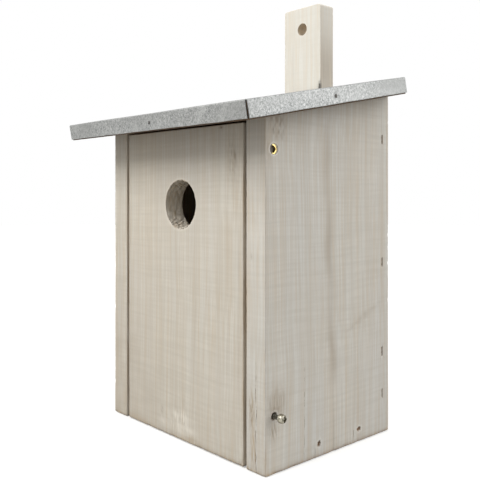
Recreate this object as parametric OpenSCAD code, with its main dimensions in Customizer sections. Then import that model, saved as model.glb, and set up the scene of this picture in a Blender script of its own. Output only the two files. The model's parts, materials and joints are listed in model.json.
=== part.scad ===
// Nest box with a lean-to roof. Four boards and a floor close a cavity, the front swings on two
// screws, a folded metal cap covers the roof board, and a batten behind hangs the box up.
// The front faces -Y, +Z is up, and the origin is the centre of the base.

/* [Body] */
// Width across the two side walls
body_w = 158; // [140:1:220]
// Depth of the side walls, from front edge to back edge
body_d = 116; // [100:1:180]
// Height of the side walls at their front edge
front_h = 203; // [190:1:280]
// Thickness of the side walls
side_t = 16; // [12:0.5:20]
// Thickness of the back wall
back_t = 14; // [10:0.5:18]
// Thickness of the floor
floor_t = 16; // [12:0.5:20]

/* [Front] */
// Thickness of the swinging front
front_t = 14; // [12:0.5:20]
// Gap between the front and each side wall
front_side_gap = 2.6; // [2:0.1:5]
// Gap between the front's top edge and the underside of the roof
front_top_gap = 1.8; // [1.6:0.1:4]
// Height of the front's bottom edge above the base
front_lift = 0.4; // [0.4:0.1:5]
// Gap between the front's inner face and the floor's front edge
front_floor_gap = 1.5; // [1:0.1:4]
// Diameter of the entrance hole
hole_d = 32; // [26:0.5:46]
// Distance from the front's top edge down to the middle of the entrance hole
hole_drop = 48.7; // [40:0.1:90]

/* [Roof] */
// Pitch of the roof, rising to the back, in degrees
roof_pitch = 11; // [6:0.5:20]
// Thickness of the roof board
roof_t = 10.2; // [8:0.1:18]
// Overhang of the roof board in front of the walls
roof_front = 26.2; // [10:0.2:45]
// Overhang of the roof board at each side
roof_side = 14.5; // [6:0.5:30]
// Thickness of the cap's sheet
cap_t = 0.7; // [0.5:0.1:0.9]
// Height of the cap's folded skirt
cap_skirt = 10.3; // [6:0.1:10.4]
// Outer radius of the cap's folds
cap_bend = 1; // [1:0.1:2.5]

/* [Batten] */
// Width of the hanging batten
batten_w = 37; // [25:0.5:60]
// Thickness of the hanging batten
batten_t = 14.5; // [10:0.5:20]
// Height of the batten's top above the base
batten_top = 301; // [290:1:400]
// Height of the batten's lower end above the base
batten_foot = 15; // [2:1:60]
// Radius of the batten's top corners
batten_round = 2.5; // [1:0.5:8]
// Diameter of the hanging hole
hang_d = 9; // [5:0.5:12]
// Distance from the batten's top down to the hanging hole
hang_drop = 16.5; // [12:0.5:30]

/* [Screws] */
// Diameter of the pivot screws
pivot_d = 3; // [2.5:0.1:5]
// Diameter of the pivot screws' heads
pivot_head_d = 6; // [5.4:0.1:9]
// Length of the pivot screws
pivot_len = 32; // [24:1:40]
// Distance from the front's top edge down to the pivot
pivot_drop = 16.2; // [12:0.2:24]
// Depth of the pivot heads below the walls' faces
pivot_sink = 0.9; // [0.2:0.1:3]
// Diameter of the lock screw
lock_d = 3; // [2.5:0.1:4.6]
// Diameter of the lock screw's round head
lock_head_d = 5.2; // [5.1:0.1:9]
// Height of the lock screw's round head
lock_head_h = 3.6; // [2:0.1:5]
// Height of the lock screw above the base
lock_rise = 33; // [24:1:60]
// Distance that the lock screw is backed out of the wall
lock_proud = 5; // [1:0.5:8]
// Diameter of the batten screws
batten_screw_d = 4; // [3:0.1:5]
// Diameter of the batten screws' heads
batten_screw_head_d = 8; // [7:0.1:10]
// Depth of the batten screws' heads below the batten's face
batten_screw_sink = 0.4; // [0.2:0.1:2]
// Length of the batten screws
batten_screw_len = 25; // [18:1:28]
// Distance from the batten's lower end up to the lower screw
batten_screw_inset = 30; // [20:1:60]
// Distance between the two batten screws
batten_screw_pitch = 140; // [80:1:170]

/* [Nails] */
// Diameter of the floor nails
floor_nail_d = 1.6; // [1.2:0.1:2.2]
// Diameter of the floor nails' heads
floor_nail_head_d = 2.6; // [2.4:0.1:5]
// Length of the floor nails
floor_nail_len = 34; // [26:1:45]
// Distance from the walls' back edges to the rear floor nail
floor_nail_inset = 32; // [25:1:45]
// Distance between the two floor nails
floor_nail_pitch = 38.5; // [20:0.5:50]
// Height of a back-wall staple's crown
staple_h = 5.8; // [4:0.1:8]
// Thickness of the staple wire
staple_t = 1.2; // [0.8:0.1:1.6]
// Length of the staples' legs
staple_len = 28; // [22:1:40]
// Height of the lowest staple above the base
staple_rise = 26; // [22:1:35]
// Distance between the two lower staples
staple_pitch = 28; // [15:1:32]
// Distance from the back wall's top down to the highest staple
staple_drop = 28.5; // [15:0.5:40]
// Distance between the two upper staples
staple_span = 82; // [50:1:85]
// Diameter of the cap nails
cap_nail_d = 1.8; // [1.2:0.1:2.5]
// Diameter of the cap nails' heads
cap_nail_head_d = 3.4; // [3:0.1:5]
// Length of the cap nails
cap_nail_len = 16; // [12:1:25]
// Distance from the cap's top down to its nails
cap_nail_drop = 5.6; // [4:0.1:7]
// Distance of the front cap nail to the right of the middle
cap_nail_shift = 5; // [-40:1:40]

/* [Hidden] */
$fn = 64;

// Clearance between pieces that are nailed or screwed tight
fit = 0.05;
// Running clearance of the pivot screws in the side walls
pivot_fit = 0.08;
// Clearance between the roof board and its cap, which keeps the board's sharp edges out of the folds
cap_fit = fit + (cap_bend - cap_t) * (1 - cos(45));
// Length by which a cutting shape runs past the face that it opens
over = 1;
// Thickness of the flat rim of a countersunk head
rim_h = 0.4;
// Length of a screw's or nail's point
point_h = 3;
// Height of a nail's head
nail_head_h = 0.7;
// Depth to which the floor nails and the staples are set below the wood
nail_set = 0.8;
// Distance by which the backed-out lock screw's point stops short of the wall's inner face
tip_gap = 1;
// Number of flats that make up one fold of the cap
fold_steps = 5;
// Width and depth of a screw's cross recess
recess_w = 1.3;
recess_h = 1.5;

wood = [0.80, 0.77, 0.71];
raw_wood = [0.55, 0.42, 0.30];
galvanised = [0.72, 0.74, 0.74];
yellow_zinc = [0.85, 0.72, 0.35];
bright_steel = [0.70, 0.69, 0.66];
rusty_steel = [0.42, 0.34, 0.27];

wall_x = body_w / 2;
inner_x = wall_x - side_t;
front_y = -body_d / 2;
back_y = body_d / 2;
cavity_back_y = back_y - back_t;

front_w = 2 * (inner_x - front_side_gap);
front_top = front_h - front_top_gap;
pivot_y = front_y + front_t / 2;
pivot_z = front_top - pivot_drop;
hole_z = front_top - hole_drop;

floor_front_y = front_y + front_t + front_floor_gap;
floor_nail_y = [back_y - floor_nail_inset, back_y - floor_nail_inset - floor_nail_pitch];

staple_y = (cavity_back_y + back_y) / 2;
staple_top = top_at(staple_y) - staple_drop;
staple_z = [staple_rise, staple_rise + staple_pitch, staple_top - staple_span, staple_top];

batten_y = back_y + fit;
batten_back_y = batten_y + batten_t;
batten_screw_z = batten_foot + batten_screw_inset;

// Along the slope, measured from the walls' front top edge
board_x = wall_x + roof_side;
board_front = -roof_front / cos(roof_pitch);
board_back = (body_d - fit) / cos(roof_pitch) - cap_t - cap_fit;
board_mid = (board_front + board_back) / 2;
cap_x = board_x + cap_fit + cap_t;
cap_front = board_front - cap_fit - cap_t;
cap_back = board_back + cap_fit + cap_t;
cap_top = roof_t + cap_fit + cap_t;
cap_nail_z = cap_top - cap_nail_drop;

// Height of the walls' tops, which follow the roof, at the place y
function top_at(y) = front_h + (y - front_y) * tan(roof_pitch);

// Places its children in the roof's frame: y runs up the slope and z stands off the board
module on_roof() {
  translate([0, front_y, front_h + fit / cos(roof_pitch)])
    rotate([roof_pitch, 0, 0])
      children();
}

// Turns a shape that points up so that it points out of the right wall
module out_of_right(y, z) {
  translate([wall_x, y, z])
    rotate([0, 90, 0])
      children();
}

// Outline that hangs down from y = 0, with its two top corners rounded
module rounded_top(width, height, radius) {
  union() {
    translate([-width / 2, -height])
      square([width, height - radius]);
    translate([radius - width / 2, -height])
      square([width - 2 * radius, height]);
    for (side = [-1, 1])
      translate([side * (width / 2 - radius), -radius])
        circle(radius);
  }
}

// Board that stands on edge across the box, with its top cut to the roof's slope
module sloped_board(x_low, x_high, y_low, y_high) {
  translate([x_low, 0, 0])
    rotate([90, 0, 90])
      linear_extrude(x_high - x_low)
        polygon([[y_low, 0], [y_high, 0], [y_high, top_at(y_high)], [y_low, top_at(y_low)]]);
}

// Screw with a flat countersunk head, its head's face at z = 0 and its point down
module countersunk_screw(d, head_d, len) {
  shoulder = rim_h + (head_d - d) / 2;
  difference() {
    rotate_extrude()
      polygon([[0, 0], [head_d / 2, 0], [head_d / 2, -rim_h], [d / 2, -shoulder],
        [d / 2, point_h - len], [0, -len]]);
    for (turn = [0, 90])
      rotate([0, 0, turn])
        translate([0, 0, (over - recess_h) / 2])
          cube([head_d / 2, recess_w, recess_h + over], center = true);
  }
}

// Space that such a screw takes up, with its head sunk below the face at z = 0
module countersunk_hole(d, head_d, len, sink, gap) {
  shoulder = sink + rim_h + (head_d - d) / 2;
  rotate_extrude()
    polygon([[0, over], [head_d / 2 + gap, over], [head_d / 2 + gap, -sink - rim_h],
      [d / 2 + gap, -shoulder], [d / 2 + gap, -sink - len], [0, -sink - len]]);
}

// Nail with a flat head whose underside is at z = 0, and its point down
module nail(d, head_d, len) {
  rotate_extrude()
    polygon([[0, nail_head_h], [head_d / 2, nail_head_h], [head_d / 2, 0], [d / 2, 0],
      [d / 2, point_h - len], [0, -len]]);
}

// Space that a nail's shank takes up below the face at z = 0
module nail_hole(d, len) {
  translate([0, 0, -len - fit])
    cylinder(d = d + 2 * fit, h = len + fit + over);
}

// Floor nails of the right wall, set a little below its face
module floor_nails() {
  for (y = floor_nail_y)
    out_of_right(y, floor_t / 2)
      translate([0, 0, -nail_set - nail_head_h])
        nail(floor_nail_d, floor_nail_head_d, floor_nail_len);
}

// Space for the right wall's floor nails and their sunk heads
module floor_nail_holes() {
  for (y = floor_nail_y)
    out_of_right(y, floor_t / 2) {
      nail_hole(floor_nail_d, floor_nail_len + nail_set + nail_head_h);
      translate([0, 0, -nail_set - nail_head_h - fit])
        cylinder(d = floor_nail_head_d + 2 * fit, h = nail_set + nail_head_h + fit + over);
    }
}

// One staple through the right wall into the back wall, grown by a gap on every side
module staple(z, gap, lead) {
  crown = staple_h / 2 + gap;
  half = staple_t / 2 + gap;
  leg = staple_h / 2 - staple_t;
  out_of_right(staple_y, z)
    rotate([90, 0, 0])
      linear_extrude(2 * half, center = true)
        difference() {
          translate([-crown, -nail_set - staple_len - gap])
            square([2 * crown, staple_len + gap + lead]);
          translate([gap - leg, -nail_set - staple_len - gap - over])
            square([2 * (leg - gap), staple_len - staple_t + over]);
        }
}

// Staples of the right wall
module back_staples() {
  for (z = staple_z)
    staple(z, 0, 0);
}

// Slots for the right wall's staples
module staple_slots() {
  for (z = staple_z)
    staple(z, fit, nail_set + over);
}

// Pivot screw of the right wall, which turns with the front
module pivot_screw() {
  color(yellow_zinc)
    out_of_right(pivot_y, pivot_z)
      translate([0, 0, -pivot_sink])
        countersunk_screw(pivot_d, pivot_head_d, pivot_len);
}

// Space for the right pivot screw, with its clearance
module pivot_hole(gap) {
  out_of_right(pivot_y, pivot_z)
    countersunk_hole(pivot_d, pivot_head_d, pivot_len, pivot_sink, gap);
}

// Space for the lock screw's shank, right through the right wall
module lock_hole() {
  out_of_right(pivot_y, lock_rise)
    translate([0, 0, -side_t - over])
      cylinder(d = lock_d + 2 * fit, h = side_t + 2 * over);
}

// Side wall on the right, with the holes that both walls share
module side_wall() {
  difference() {
    sloped_board(inner_x, wall_x, front_y, back_y);
    pivot_hole(pivot_fit);
    floor_nail_holes();
    staple_slots();
  }
}

module left_wall() {
  color(wood)
    mirror([1, 0, 0])
      side_wall();
}

module right_wall() {
  color(wood)
    difference() {
      side_wall();
      lock_hole();
    }
}

module back_wall() {
  color(wood)
    difference() {
      sloped_board(fit - inner_x, inner_x - fit, cavity_back_y, back_y);
      for (side = [0, 1])
        mirror([side, 0, 0])
          staple_slots();
      batten_screw_holes();
    }
}

module floor_panel() {
  color(wood)
    difference() {
      translate([fit - inner_x, floor_front_y, 0])
        cube([2 * (inner_x - fit), cavity_back_y - fit - floor_front_y, floor_t]);
      for (side = [0, 1])
        mirror([side, 0, 0])
          floor_nail_holes();
    }
}

module front_panel() {
  color(wood)
    difference() {
      translate([-front_w / 2, front_y, front_lift])
        cube([front_w, front_t, front_top - front_lift]);
      translate([0, front_y - over, hole_z])
        rotate([-90, 0, 0])
          cylinder(d = hole_d, h = front_t + 2 * over);
      for (side = [0, 1])
        mirror([side, 0, 0])
          pivot_hole(fit);
    }
}

// Place of the cap nail in the front skirt
module at_front_nail() {
  translate([cap_nail_shift, cap_front - fit, cap_nail_z])
    rotate([90, 0, 0])
      children();
}

// Place of the cap nail in the middle of the right skirt
module at_side_nail() {
  translate([cap_x + fit, board_mid, cap_nail_z])
    rotate([0, 90, 0])
      children();
}

// Space for all three cap nails
module cap_nail_holes() {
  at_front_nail()
    nail_hole(cap_nail_d, cap_nail_len);
  for (side = [0, 1])
    mirror([side, 0, 0])
      at_side_nail()
        nail_hole(cap_nail_d, cap_nail_len);
}

module roof_board() {
  color(raw_wood)
    on_roof()
      difference() {
        translate([-board_x, board_front, 0])
          cube([2 * board_x, board_back - board_front, roof_t]);
        cap_nail_holes();
      }
}

// Points on an arc about the centre [x, y], from one angle to another
function arc(x, y, radius, from, to) = [
  for (step = [0 : fold_steps])
    let (angle = from + (to - from) * step / fold_steps)
    [x + radius * cos(angle), y + radius * sin(angle)]
];

// Section of a sheet folded down along both sides, with its top at y = 0
module channel_section(width) {
  bend_x = width / 2 - cap_bend;
  inner_bend = cap_bend - cap_t;
  outer_x = width / 2;
  polygon(concat(
    [[-outer_x, -cap_skirt]],
    arc(-bend_x, -cap_bend, cap_bend, 180, 90),
    arc(bend_x, -cap_bend, cap_bend, 90, 0),
    [[outer_x, -cap_skirt], [outer_x - cap_t, -cap_skirt]],
    arc(bend_x, -cap_bend, inner_bend, 0, 90),
    arc(-bend_x, -cap_bend, inner_bend, 90, 180),
    [[cap_t - outer_x, -cap_skirt]]
  ));
}

// Two crossed channels: each fold stops where the other one bends, so the corners stay open
module roof_cap() {
  cap_w = 2 * cap_x;
  cap_l = cap_back - cap_front;
  color(galvanised)
    on_roof()
      difference() {
        translate([0, (cap_front + cap_back) / 2, cap_top])
          union() {
            rotate([90, 0, 0])
              linear_extrude(cap_l - 2 * cap_bend, center = true)
                channel_section(cap_w);
            rotate([90, 0, 90])
              linear_extrude(cap_w - 2 * cap_bend, center = true)
                channel_section(cap_l);
          }
        cap_nail_holes();
      }
}

// Space for the two batten screws, through the batten and into the back wall
module batten_screw_holes() {
  for (row = [0, 1])
    translate([0, batten_back_y, batten_screw_z + row * batten_screw_pitch])
      rotate([-90, 0, 0])
        countersunk_hole(batten_screw_d, batten_screw_head_d, batten_screw_len, batten_screw_sink,
          fit);
}

// One batten screw, counted from the lower one
module batten_screw(row) {
  color(yellow_zinc)
    translate([0, batten_back_y - batten_screw_sink, batten_screw_z + row * batten_screw_pitch])
      rotate([-90, 0, 0])
        countersunk_screw(batten_screw_d, batten_screw_head_d, batten_screw_len);
}

module hanging_batten() {
  color(wood)
    difference() {
      translate([0, batten_back_y, batten_top])
        rotate([90, 0, 0])
          linear_extrude(batten_t)
            rounded_top(batten_w, batten_top - batten_foot, batten_round);
      translate([0, batten_y - over, batten_top - hang_drop])
        rotate([-90, 0, 0])
          cylinder(d = hang_d, h = batten_t + 2 * over);
      batten_screw_holes();
    }
}

module pivot_screw_left() {
  mirror([1, 0, 0])
    pivot_screw();
}

module pivot_screw_right() {
  pivot_screw();
}

// Round-headed screw, backed out so that its point ends inside the wall
module lock_screw() {
  shank = lock_proud + side_t - tip_gap;
  dome_r = (pow(lock_head_d / 2, 2) + pow(lock_head_h, 2)) / (2 * lock_head_h);
  color(bright_steel)
    out_of_right(pivot_y, lock_rise)
      translate([0, 0, lock_proud])
        difference() {
          union() {
            intersection() {
              translate([0, 0, lock_head_h - dome_r])
                sphere(dome_r);
              cylinder(d = lock_head_d + over, h = lock_head_h + over);
            }
            rotate_extrude()
              polygon([[0, over / 2], [lock_d / 2, over / 2], [lock_d / 2, point_h - shank],
                [0, -shank]]);
          }
          for (turn = [0, 90])
            rotate([0, 0, turn])
              translate([0, 0, lock_head_h])
                cube([lock_head_d / 2, recess_w, 2 * recess_h], center = true);
        }
}

module floor_nails_left() {
  color(rusty_steel)
    mirror([1, 0, 0])
      floor_nails();
}

module floor_nails_right() {
  color(rusty_steel)
    floor_nails();
}

module back_staples_left() {
  color(bright_steel)
    mirror([1, 0, 0])
      back_staples();
}

module back_staples_right() {
  color(bright_steel)
    back_staples();
}

module cap_nail() {
  nail(cap_nail_d, cap_nail_head_d, cap_nail_len);
}

module cap_nail_front() {
  color(rusty_steel)
    on_roof()
      at_front_nail()
        cap_nail();
}

module cap_nail_left() {
  color(rusty_steel)
    on_roof()
      mirror([1, 0, 0])
        at_side_nail()
          cap_nail();
}

module cap_nail_right() {
  color(rusty_steel)
    on_roof()
      at_side_nail()
        cap_nail();
}

module batten_screw_upper() {
  batten_screw(1);
}

module batten_screw_lower() {
  batten_screw(0);
}

left_wall();
right_wall();
back_wall();
floor_panel();
front_panel();
roof_board();
roof_cap();
hanging_batten();
pivot_screw_left();
pivot_screw_right();
lock_screw();
floor_nails_left();
floor_nails_right();
back_staples_left();
back_staples_right();
cap_nail_front();
cap_nail_left();
cap_nail_right();
batten_screw_upper();
batten_screw_lower();
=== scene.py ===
"""Looks of a whitewashed nest box with a folded metal roof cap.

Each piece is a surface worked out with numpy, in metres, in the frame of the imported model: the
front faces -Y, +Z is up and the origin is the centre of the base.
"""

from __future__ import annotations

import json
import logging
import math
from dataclasses import dataclass, field
from enum import Enum

import bpy
import numpy as np
from mathutils import Vector
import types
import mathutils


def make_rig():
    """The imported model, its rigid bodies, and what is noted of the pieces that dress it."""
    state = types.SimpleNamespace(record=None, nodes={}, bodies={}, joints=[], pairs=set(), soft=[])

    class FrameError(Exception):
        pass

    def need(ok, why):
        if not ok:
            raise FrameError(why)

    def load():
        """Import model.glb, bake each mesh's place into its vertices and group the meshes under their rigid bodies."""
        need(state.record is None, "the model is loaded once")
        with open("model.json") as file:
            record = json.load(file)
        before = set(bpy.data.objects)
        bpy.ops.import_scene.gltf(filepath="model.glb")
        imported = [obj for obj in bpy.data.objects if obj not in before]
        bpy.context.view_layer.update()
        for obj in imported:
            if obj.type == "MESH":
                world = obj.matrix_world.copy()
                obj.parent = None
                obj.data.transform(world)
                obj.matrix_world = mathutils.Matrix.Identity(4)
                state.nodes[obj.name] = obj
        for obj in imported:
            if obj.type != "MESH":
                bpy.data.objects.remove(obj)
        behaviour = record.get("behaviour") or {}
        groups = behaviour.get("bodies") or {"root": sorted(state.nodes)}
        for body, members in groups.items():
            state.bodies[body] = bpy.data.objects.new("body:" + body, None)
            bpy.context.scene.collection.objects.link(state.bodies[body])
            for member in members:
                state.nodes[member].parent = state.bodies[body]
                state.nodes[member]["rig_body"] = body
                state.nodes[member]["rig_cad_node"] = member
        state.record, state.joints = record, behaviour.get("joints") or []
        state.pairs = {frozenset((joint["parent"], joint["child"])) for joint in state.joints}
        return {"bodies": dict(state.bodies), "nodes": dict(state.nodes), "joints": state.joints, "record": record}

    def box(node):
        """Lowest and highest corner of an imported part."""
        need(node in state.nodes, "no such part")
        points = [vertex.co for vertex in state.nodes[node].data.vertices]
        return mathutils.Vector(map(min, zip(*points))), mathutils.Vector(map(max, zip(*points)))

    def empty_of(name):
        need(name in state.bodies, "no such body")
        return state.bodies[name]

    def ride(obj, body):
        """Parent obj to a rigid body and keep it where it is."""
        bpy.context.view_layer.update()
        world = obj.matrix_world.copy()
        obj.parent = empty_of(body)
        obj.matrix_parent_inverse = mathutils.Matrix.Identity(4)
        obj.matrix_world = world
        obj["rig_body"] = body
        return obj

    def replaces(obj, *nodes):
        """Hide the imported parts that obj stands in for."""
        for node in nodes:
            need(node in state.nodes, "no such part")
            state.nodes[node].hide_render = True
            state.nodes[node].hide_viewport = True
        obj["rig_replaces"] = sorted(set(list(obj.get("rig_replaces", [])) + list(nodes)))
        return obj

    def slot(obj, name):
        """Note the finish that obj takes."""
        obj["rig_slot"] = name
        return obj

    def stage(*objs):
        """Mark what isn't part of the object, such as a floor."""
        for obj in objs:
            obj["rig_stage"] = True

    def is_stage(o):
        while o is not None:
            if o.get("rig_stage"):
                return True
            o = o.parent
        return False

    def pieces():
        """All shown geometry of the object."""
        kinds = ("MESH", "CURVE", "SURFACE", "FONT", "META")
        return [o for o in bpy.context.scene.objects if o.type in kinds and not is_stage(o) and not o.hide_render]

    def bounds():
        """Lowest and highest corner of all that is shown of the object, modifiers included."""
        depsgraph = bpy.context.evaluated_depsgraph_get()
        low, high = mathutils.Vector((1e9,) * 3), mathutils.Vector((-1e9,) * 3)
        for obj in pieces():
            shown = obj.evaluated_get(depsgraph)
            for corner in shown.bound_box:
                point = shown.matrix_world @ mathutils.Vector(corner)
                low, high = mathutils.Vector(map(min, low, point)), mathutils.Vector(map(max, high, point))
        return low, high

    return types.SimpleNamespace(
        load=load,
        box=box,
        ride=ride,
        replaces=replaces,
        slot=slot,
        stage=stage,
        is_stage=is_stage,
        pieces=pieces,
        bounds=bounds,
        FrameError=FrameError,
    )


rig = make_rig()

LOG = logging.getLogger("nest_box")

Array = np.ndarray
Colour = tuple[float, float, float, float]
Place = tuple[float, float, float]
Rows = tuple[tuple[float, ...], ...]
Socket = bpy.types.NodeSocket
Material = bpy.types.Material
Piece = bpy.types.Object

MM = 0.001
WELD = 1e-8
FULL_TURN = 2.0 * math.pi
QUARTER_TURN = 0.5 * math.pi
SIZE_FILE = "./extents.json"

# Sizes that the boxes of the nodes do not give
ROOF_PITCH = math.radians(11.0)
ROOF_GAP = 0.05 * MM
FRONT_HEIGHT = 203.0 * MM
ENTRANCE_RADIUS = 16.0 * MM
PIVOT_SINK = 0.9 * MM
LOCK_PROUD = 5.0 * MM
NAIL_SET = 0.8 * MM
FLOOR_NAIL_DOME = 0.2 * MM
BATTEN_SCREW_SINK = 0.4 * MM
BATTEN_SCREW_RISES = (30.0 * MM, 170.0 * MM)

# Angles in degrees above which an edge is sharp
BOARD_CREASE = 55.0
SHEET_CREASE = 50.0
NAIL_CREASE = 45.0
SCREW_CREASE = 40.0
FLOOR_CREASE = 60.0

# Grid lines: shares of the edge radius that get one, and the least room beside an exact one
EDGE_SHARES = (0.0, 0.35, 0.75, 1.0, 2.4)
LINE_ROOM = 0.06 * MM

# Rows of the grids round a hole: from square to rim, round the rim, and down the bore
PATCH_ROWS = 9
PATCH_BIAS = 1.3
RIM_ROWS = 5
BORE_ROWS = 22

# The photo's camera: its place, its turn about Z, its focal length and its horizon in pixels
IMAGE_SIZE = 480
SENSOR_MM = 36.0
CAMERA_PLACE = (0.35335, -0.32519, 0.15997)
CAMERA_TURN = 0.8358
FOCAL_PIXELS = 681.3
HORIZON_PIXEL = 192.97


class Body(str, Enum):
    """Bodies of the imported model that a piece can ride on."""

    BOX = "box"
    FRONT = "front"


class Slot(str, Enum):
    """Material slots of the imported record."""

    WASHED = "whitewashed_wood"
    RAW = "raw_wood"
    SHEET = "galvanised_sheet"
    YELLOW = "yellow_zinc"
    BRIGHT = "bright_steel"
    RUSTY = "rusty_steel"


class Face(Enum):
    """Sides of a board, each as the axis that it faces along and the direction on it."""

    RIGHT = (0, 1)
    LEFT = (0, -1)
    BACK = (1, 1)
    FRONT = (1, -1)
    TOP = (2, 1)
    UNDER = (2, -1)

    @property
    def axis(self) -> int:
        """Axis that the side faces along."""
        return self.value[0]

    @property
    def sign(self) -> int:
        """Direction on that axis."""
        return self.value[1]


class Head(Enum):
    """Kinds of screw head."""

    COUNTERSUNK = "countersunk"
    ROUND = "round"


def all_but(*faces: Face) -> tuple[Face, ...]:
    """Every side of a board but these."""
    return tuple(face for face in Face if face not in faces)


# Numbers

def across(axis: int) -> tuple[int, int]:
    """The two other axes, in the order x, y, z."""
    first, second = [other for other in range(3) if other != axis]
    return first, second


def soft_step(value: Array) -> Array:
    """Smooth step: 0 below 0, 1 above 1, and three squares less two cubes between."""
    held = np.clip(value, 0.0, 1.0)
    return held * held * (3.0 - 2.0 * held)


def bell(value: Array, width: float) -> Array:
    """Bell curve: 1 at 0, and e to the minus square of the value over the width."""
    return np.exp(-((value / width) ** 2))


def ripple(points: Array, period: float, seed: int, waves: int = 5) -> Array:
    """Smooth seeded values in space: the mean of some sines along seeded directions.

    Args:
        points: Places, with their coordinates on the last axis.
        period: Mean length of a wave.
        seed: Seed of the directions, lengths and phases.
        waves: Number of sines.

    Returns:
        Values from about -1 to 1, one for each place.
    """
    rng = np.random.default_rng(seed)
    ways = rng.normal(size=(waves, points.shape[-1]))
    ways /= np.linalg.norm(ways, axis=1, keepdims=True)
    ways *= FULL_TURN / (period * rng.uniform(0.6, 1.6, size=(waves, 1)))
    phases = rng.uniform(0.0, FULL_TURN, size=waves)
    return np.sin(points @ ways.T + phases).mean(axis=-1) * 1.6


def stood(flat: Array, level: Array | float, axis: int) -> Array:
    """Places at a level on one axis, with two flat coordinates on the axes that follow it."""
    points = np.empty(flat.shape[:-1] + (3,))
    points[..., axis] = level
    points[..., (axis + 1) % 3] = flat[..., 0]
    points[..., (axis + 2) % 3] = flat[..., 1]
    return points


def turned(radii: Array, heights: Array) -> Array:
    """Turns a profile about Z: each radius times cosine and sine of even angles, at its height.

    Args:
        radii: Radii as rows of the profile and columns round the axis.
        heights: Height of each row.

    Returns:
        The grid of points.
    """
    angle = np.linspace(0.0, FULL_TURN, radii.shape[1], endpoint=False)
    level = np.broadcast_to(heights[:, None], radii.shape)
    return np.stack([radii * np.cos(angle), radii * np.sin(angle), level], axis=-1)


@dataclass(frozen=True)
class Fine:
    """A stretch of an axis with close grid lines: its middle, half its length and the spacing."""

    middle: float
    reach: float
    step: float


def grid_lines(
    low: float, high: float, step: float, round_r: float, fines: list[Fine], exact: list[float]
) -> Array:
    """Places of the grid lines of one axis.

    Lines stand a step apart, closer within each fine stretch, and at set shares of the edge
    radius at both ends. Where stretches overlap the finest one counts. Exact lines push aside
    any that come too near.

    Args:
        low: Start of the axis.
        high: End of the axis.
        step: Spacing of the plain lines.
        round_r: Radius of the board's edges.
        fines: Stretches with close lines.
        exact: Places that need a line.

    Returns:
        The sorted places.
    """
    shares = np.array(EDGE_SHARES) * round_r
    plain = np.linspace(low, high, max(2, math.ceil((high - low) / step)))
    close: list[Array] = []
    placed: list[Fine] = []
    for fine in sorted(fines, key=lambda stretch: stretch.step):
        if fine.step >= step:
            continue
        count = 2 * math.ceil(fine.reach / fine.step) + 1
        lines = fine.middle + np.linspace(-fine.reach, fine.reach, count)
        for finer in placed:
            lines = lines[np.abs(lines - finer.middle) > finer.reach]
        plain = plain[np.abs(plain - fine.middle) > fine.reach]
        close.append(lines)
        placed.append(fine)
    fixed = np.concatenate([low + shares, high - shares, np.array(exact, float)])
    loose = np.concatenate([plain, *close])
    loose = loose[(loose > low) & (loose < high)]
    loose = loose[np.abs(loose[:, None] - fixed[None, :]).min(axis=1) > LINE_ROOM]
    return np.unique(np.round(np.concatenate([fixed, loose]), 7))


# Meshes

class Shell:
    """Gathers grids of points and welds them into one surface."""

    def __init__(self) -> None:
        """Starts with no grid."""
        self._points: list[Array] = []
        self._normals: list[Array] = []
        self._keys: list[Array] = []
        self._faces: list[Array] = []
        self._count = 0

    def add(
        self, points: Array, normals: Array | None = None, keys: Array | None = None,
        wrap: bool = False, flip: bool = False, keep: Array | None = None,
    ) -> None:
        """Adds a grid whose faces point along rows times columns.

        Args:
            points: Places as rows, columns and coordinates.
            normals: Directions in which the surface may be moved later.
            keys: Places by which grids are welded, where they differ from the points.
            wrap: Whether the last column joins the first.
            flip: Whether the faces point the other way.
            keep: Which faces are kept, as rows and columns.
        """
        rows, columns = points.shape[:2]
        index = np.arange(rows * columns).reshape(rows, columns) + self._count
        if wrap:
            index = np.concatenate([index, index[:, :1]], axis=1)
        corners = [index[:-1, :-1], index[1:, :-1], index[1:, 1:], index[:-1, 1:]]
        quads = np.stack(corners, axis=-1)
        quads = quads.reshape(-1, 4) if keep is None else quads[keep]
        self._faces.append(quads[:, ::-1] if flip else quads)
        self._points.append(points.reshape(-1, 3))
        self._normals.append((np.zeros_like(points) if normals is None else normals).reshape(-1, 3))
        self._keys.append((points if keys is None else keys).reshape(-1, 3))
        self._count += rows * columns

    def weld(self) -> Skin:
        """Joins points with the same key and drops those without a face.

        Returns:
            The surface.
        """
        keys = np.concatenate(self._keys)
        whole = np.round(keys / WELD).astype(np.int64)
        _, first, back = np.unique(whole, axis=0, return_index=True, return_inverse=True)
        back = back.reshape(-1)
        normals = np.zeros((len(first), 3))
        np.add.at(normals, back, np.concatenate(self._normals))
        length = np.linalg.norm(normals, axis=1, keepdims=True)
        normals = np.divide(normals, length, out=np.zeros_like(normals), where=length > 0)
        faces = back[np.concatenate(self._faces)]
        used, flat = np.unique(faces, return_inverse=True)
        chosen = first[used]
        points = np.concatenate(self._points)[chosen]
        return Skin(points, normals[used], keys[chosen], flat.reshape(faces.shape))


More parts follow.
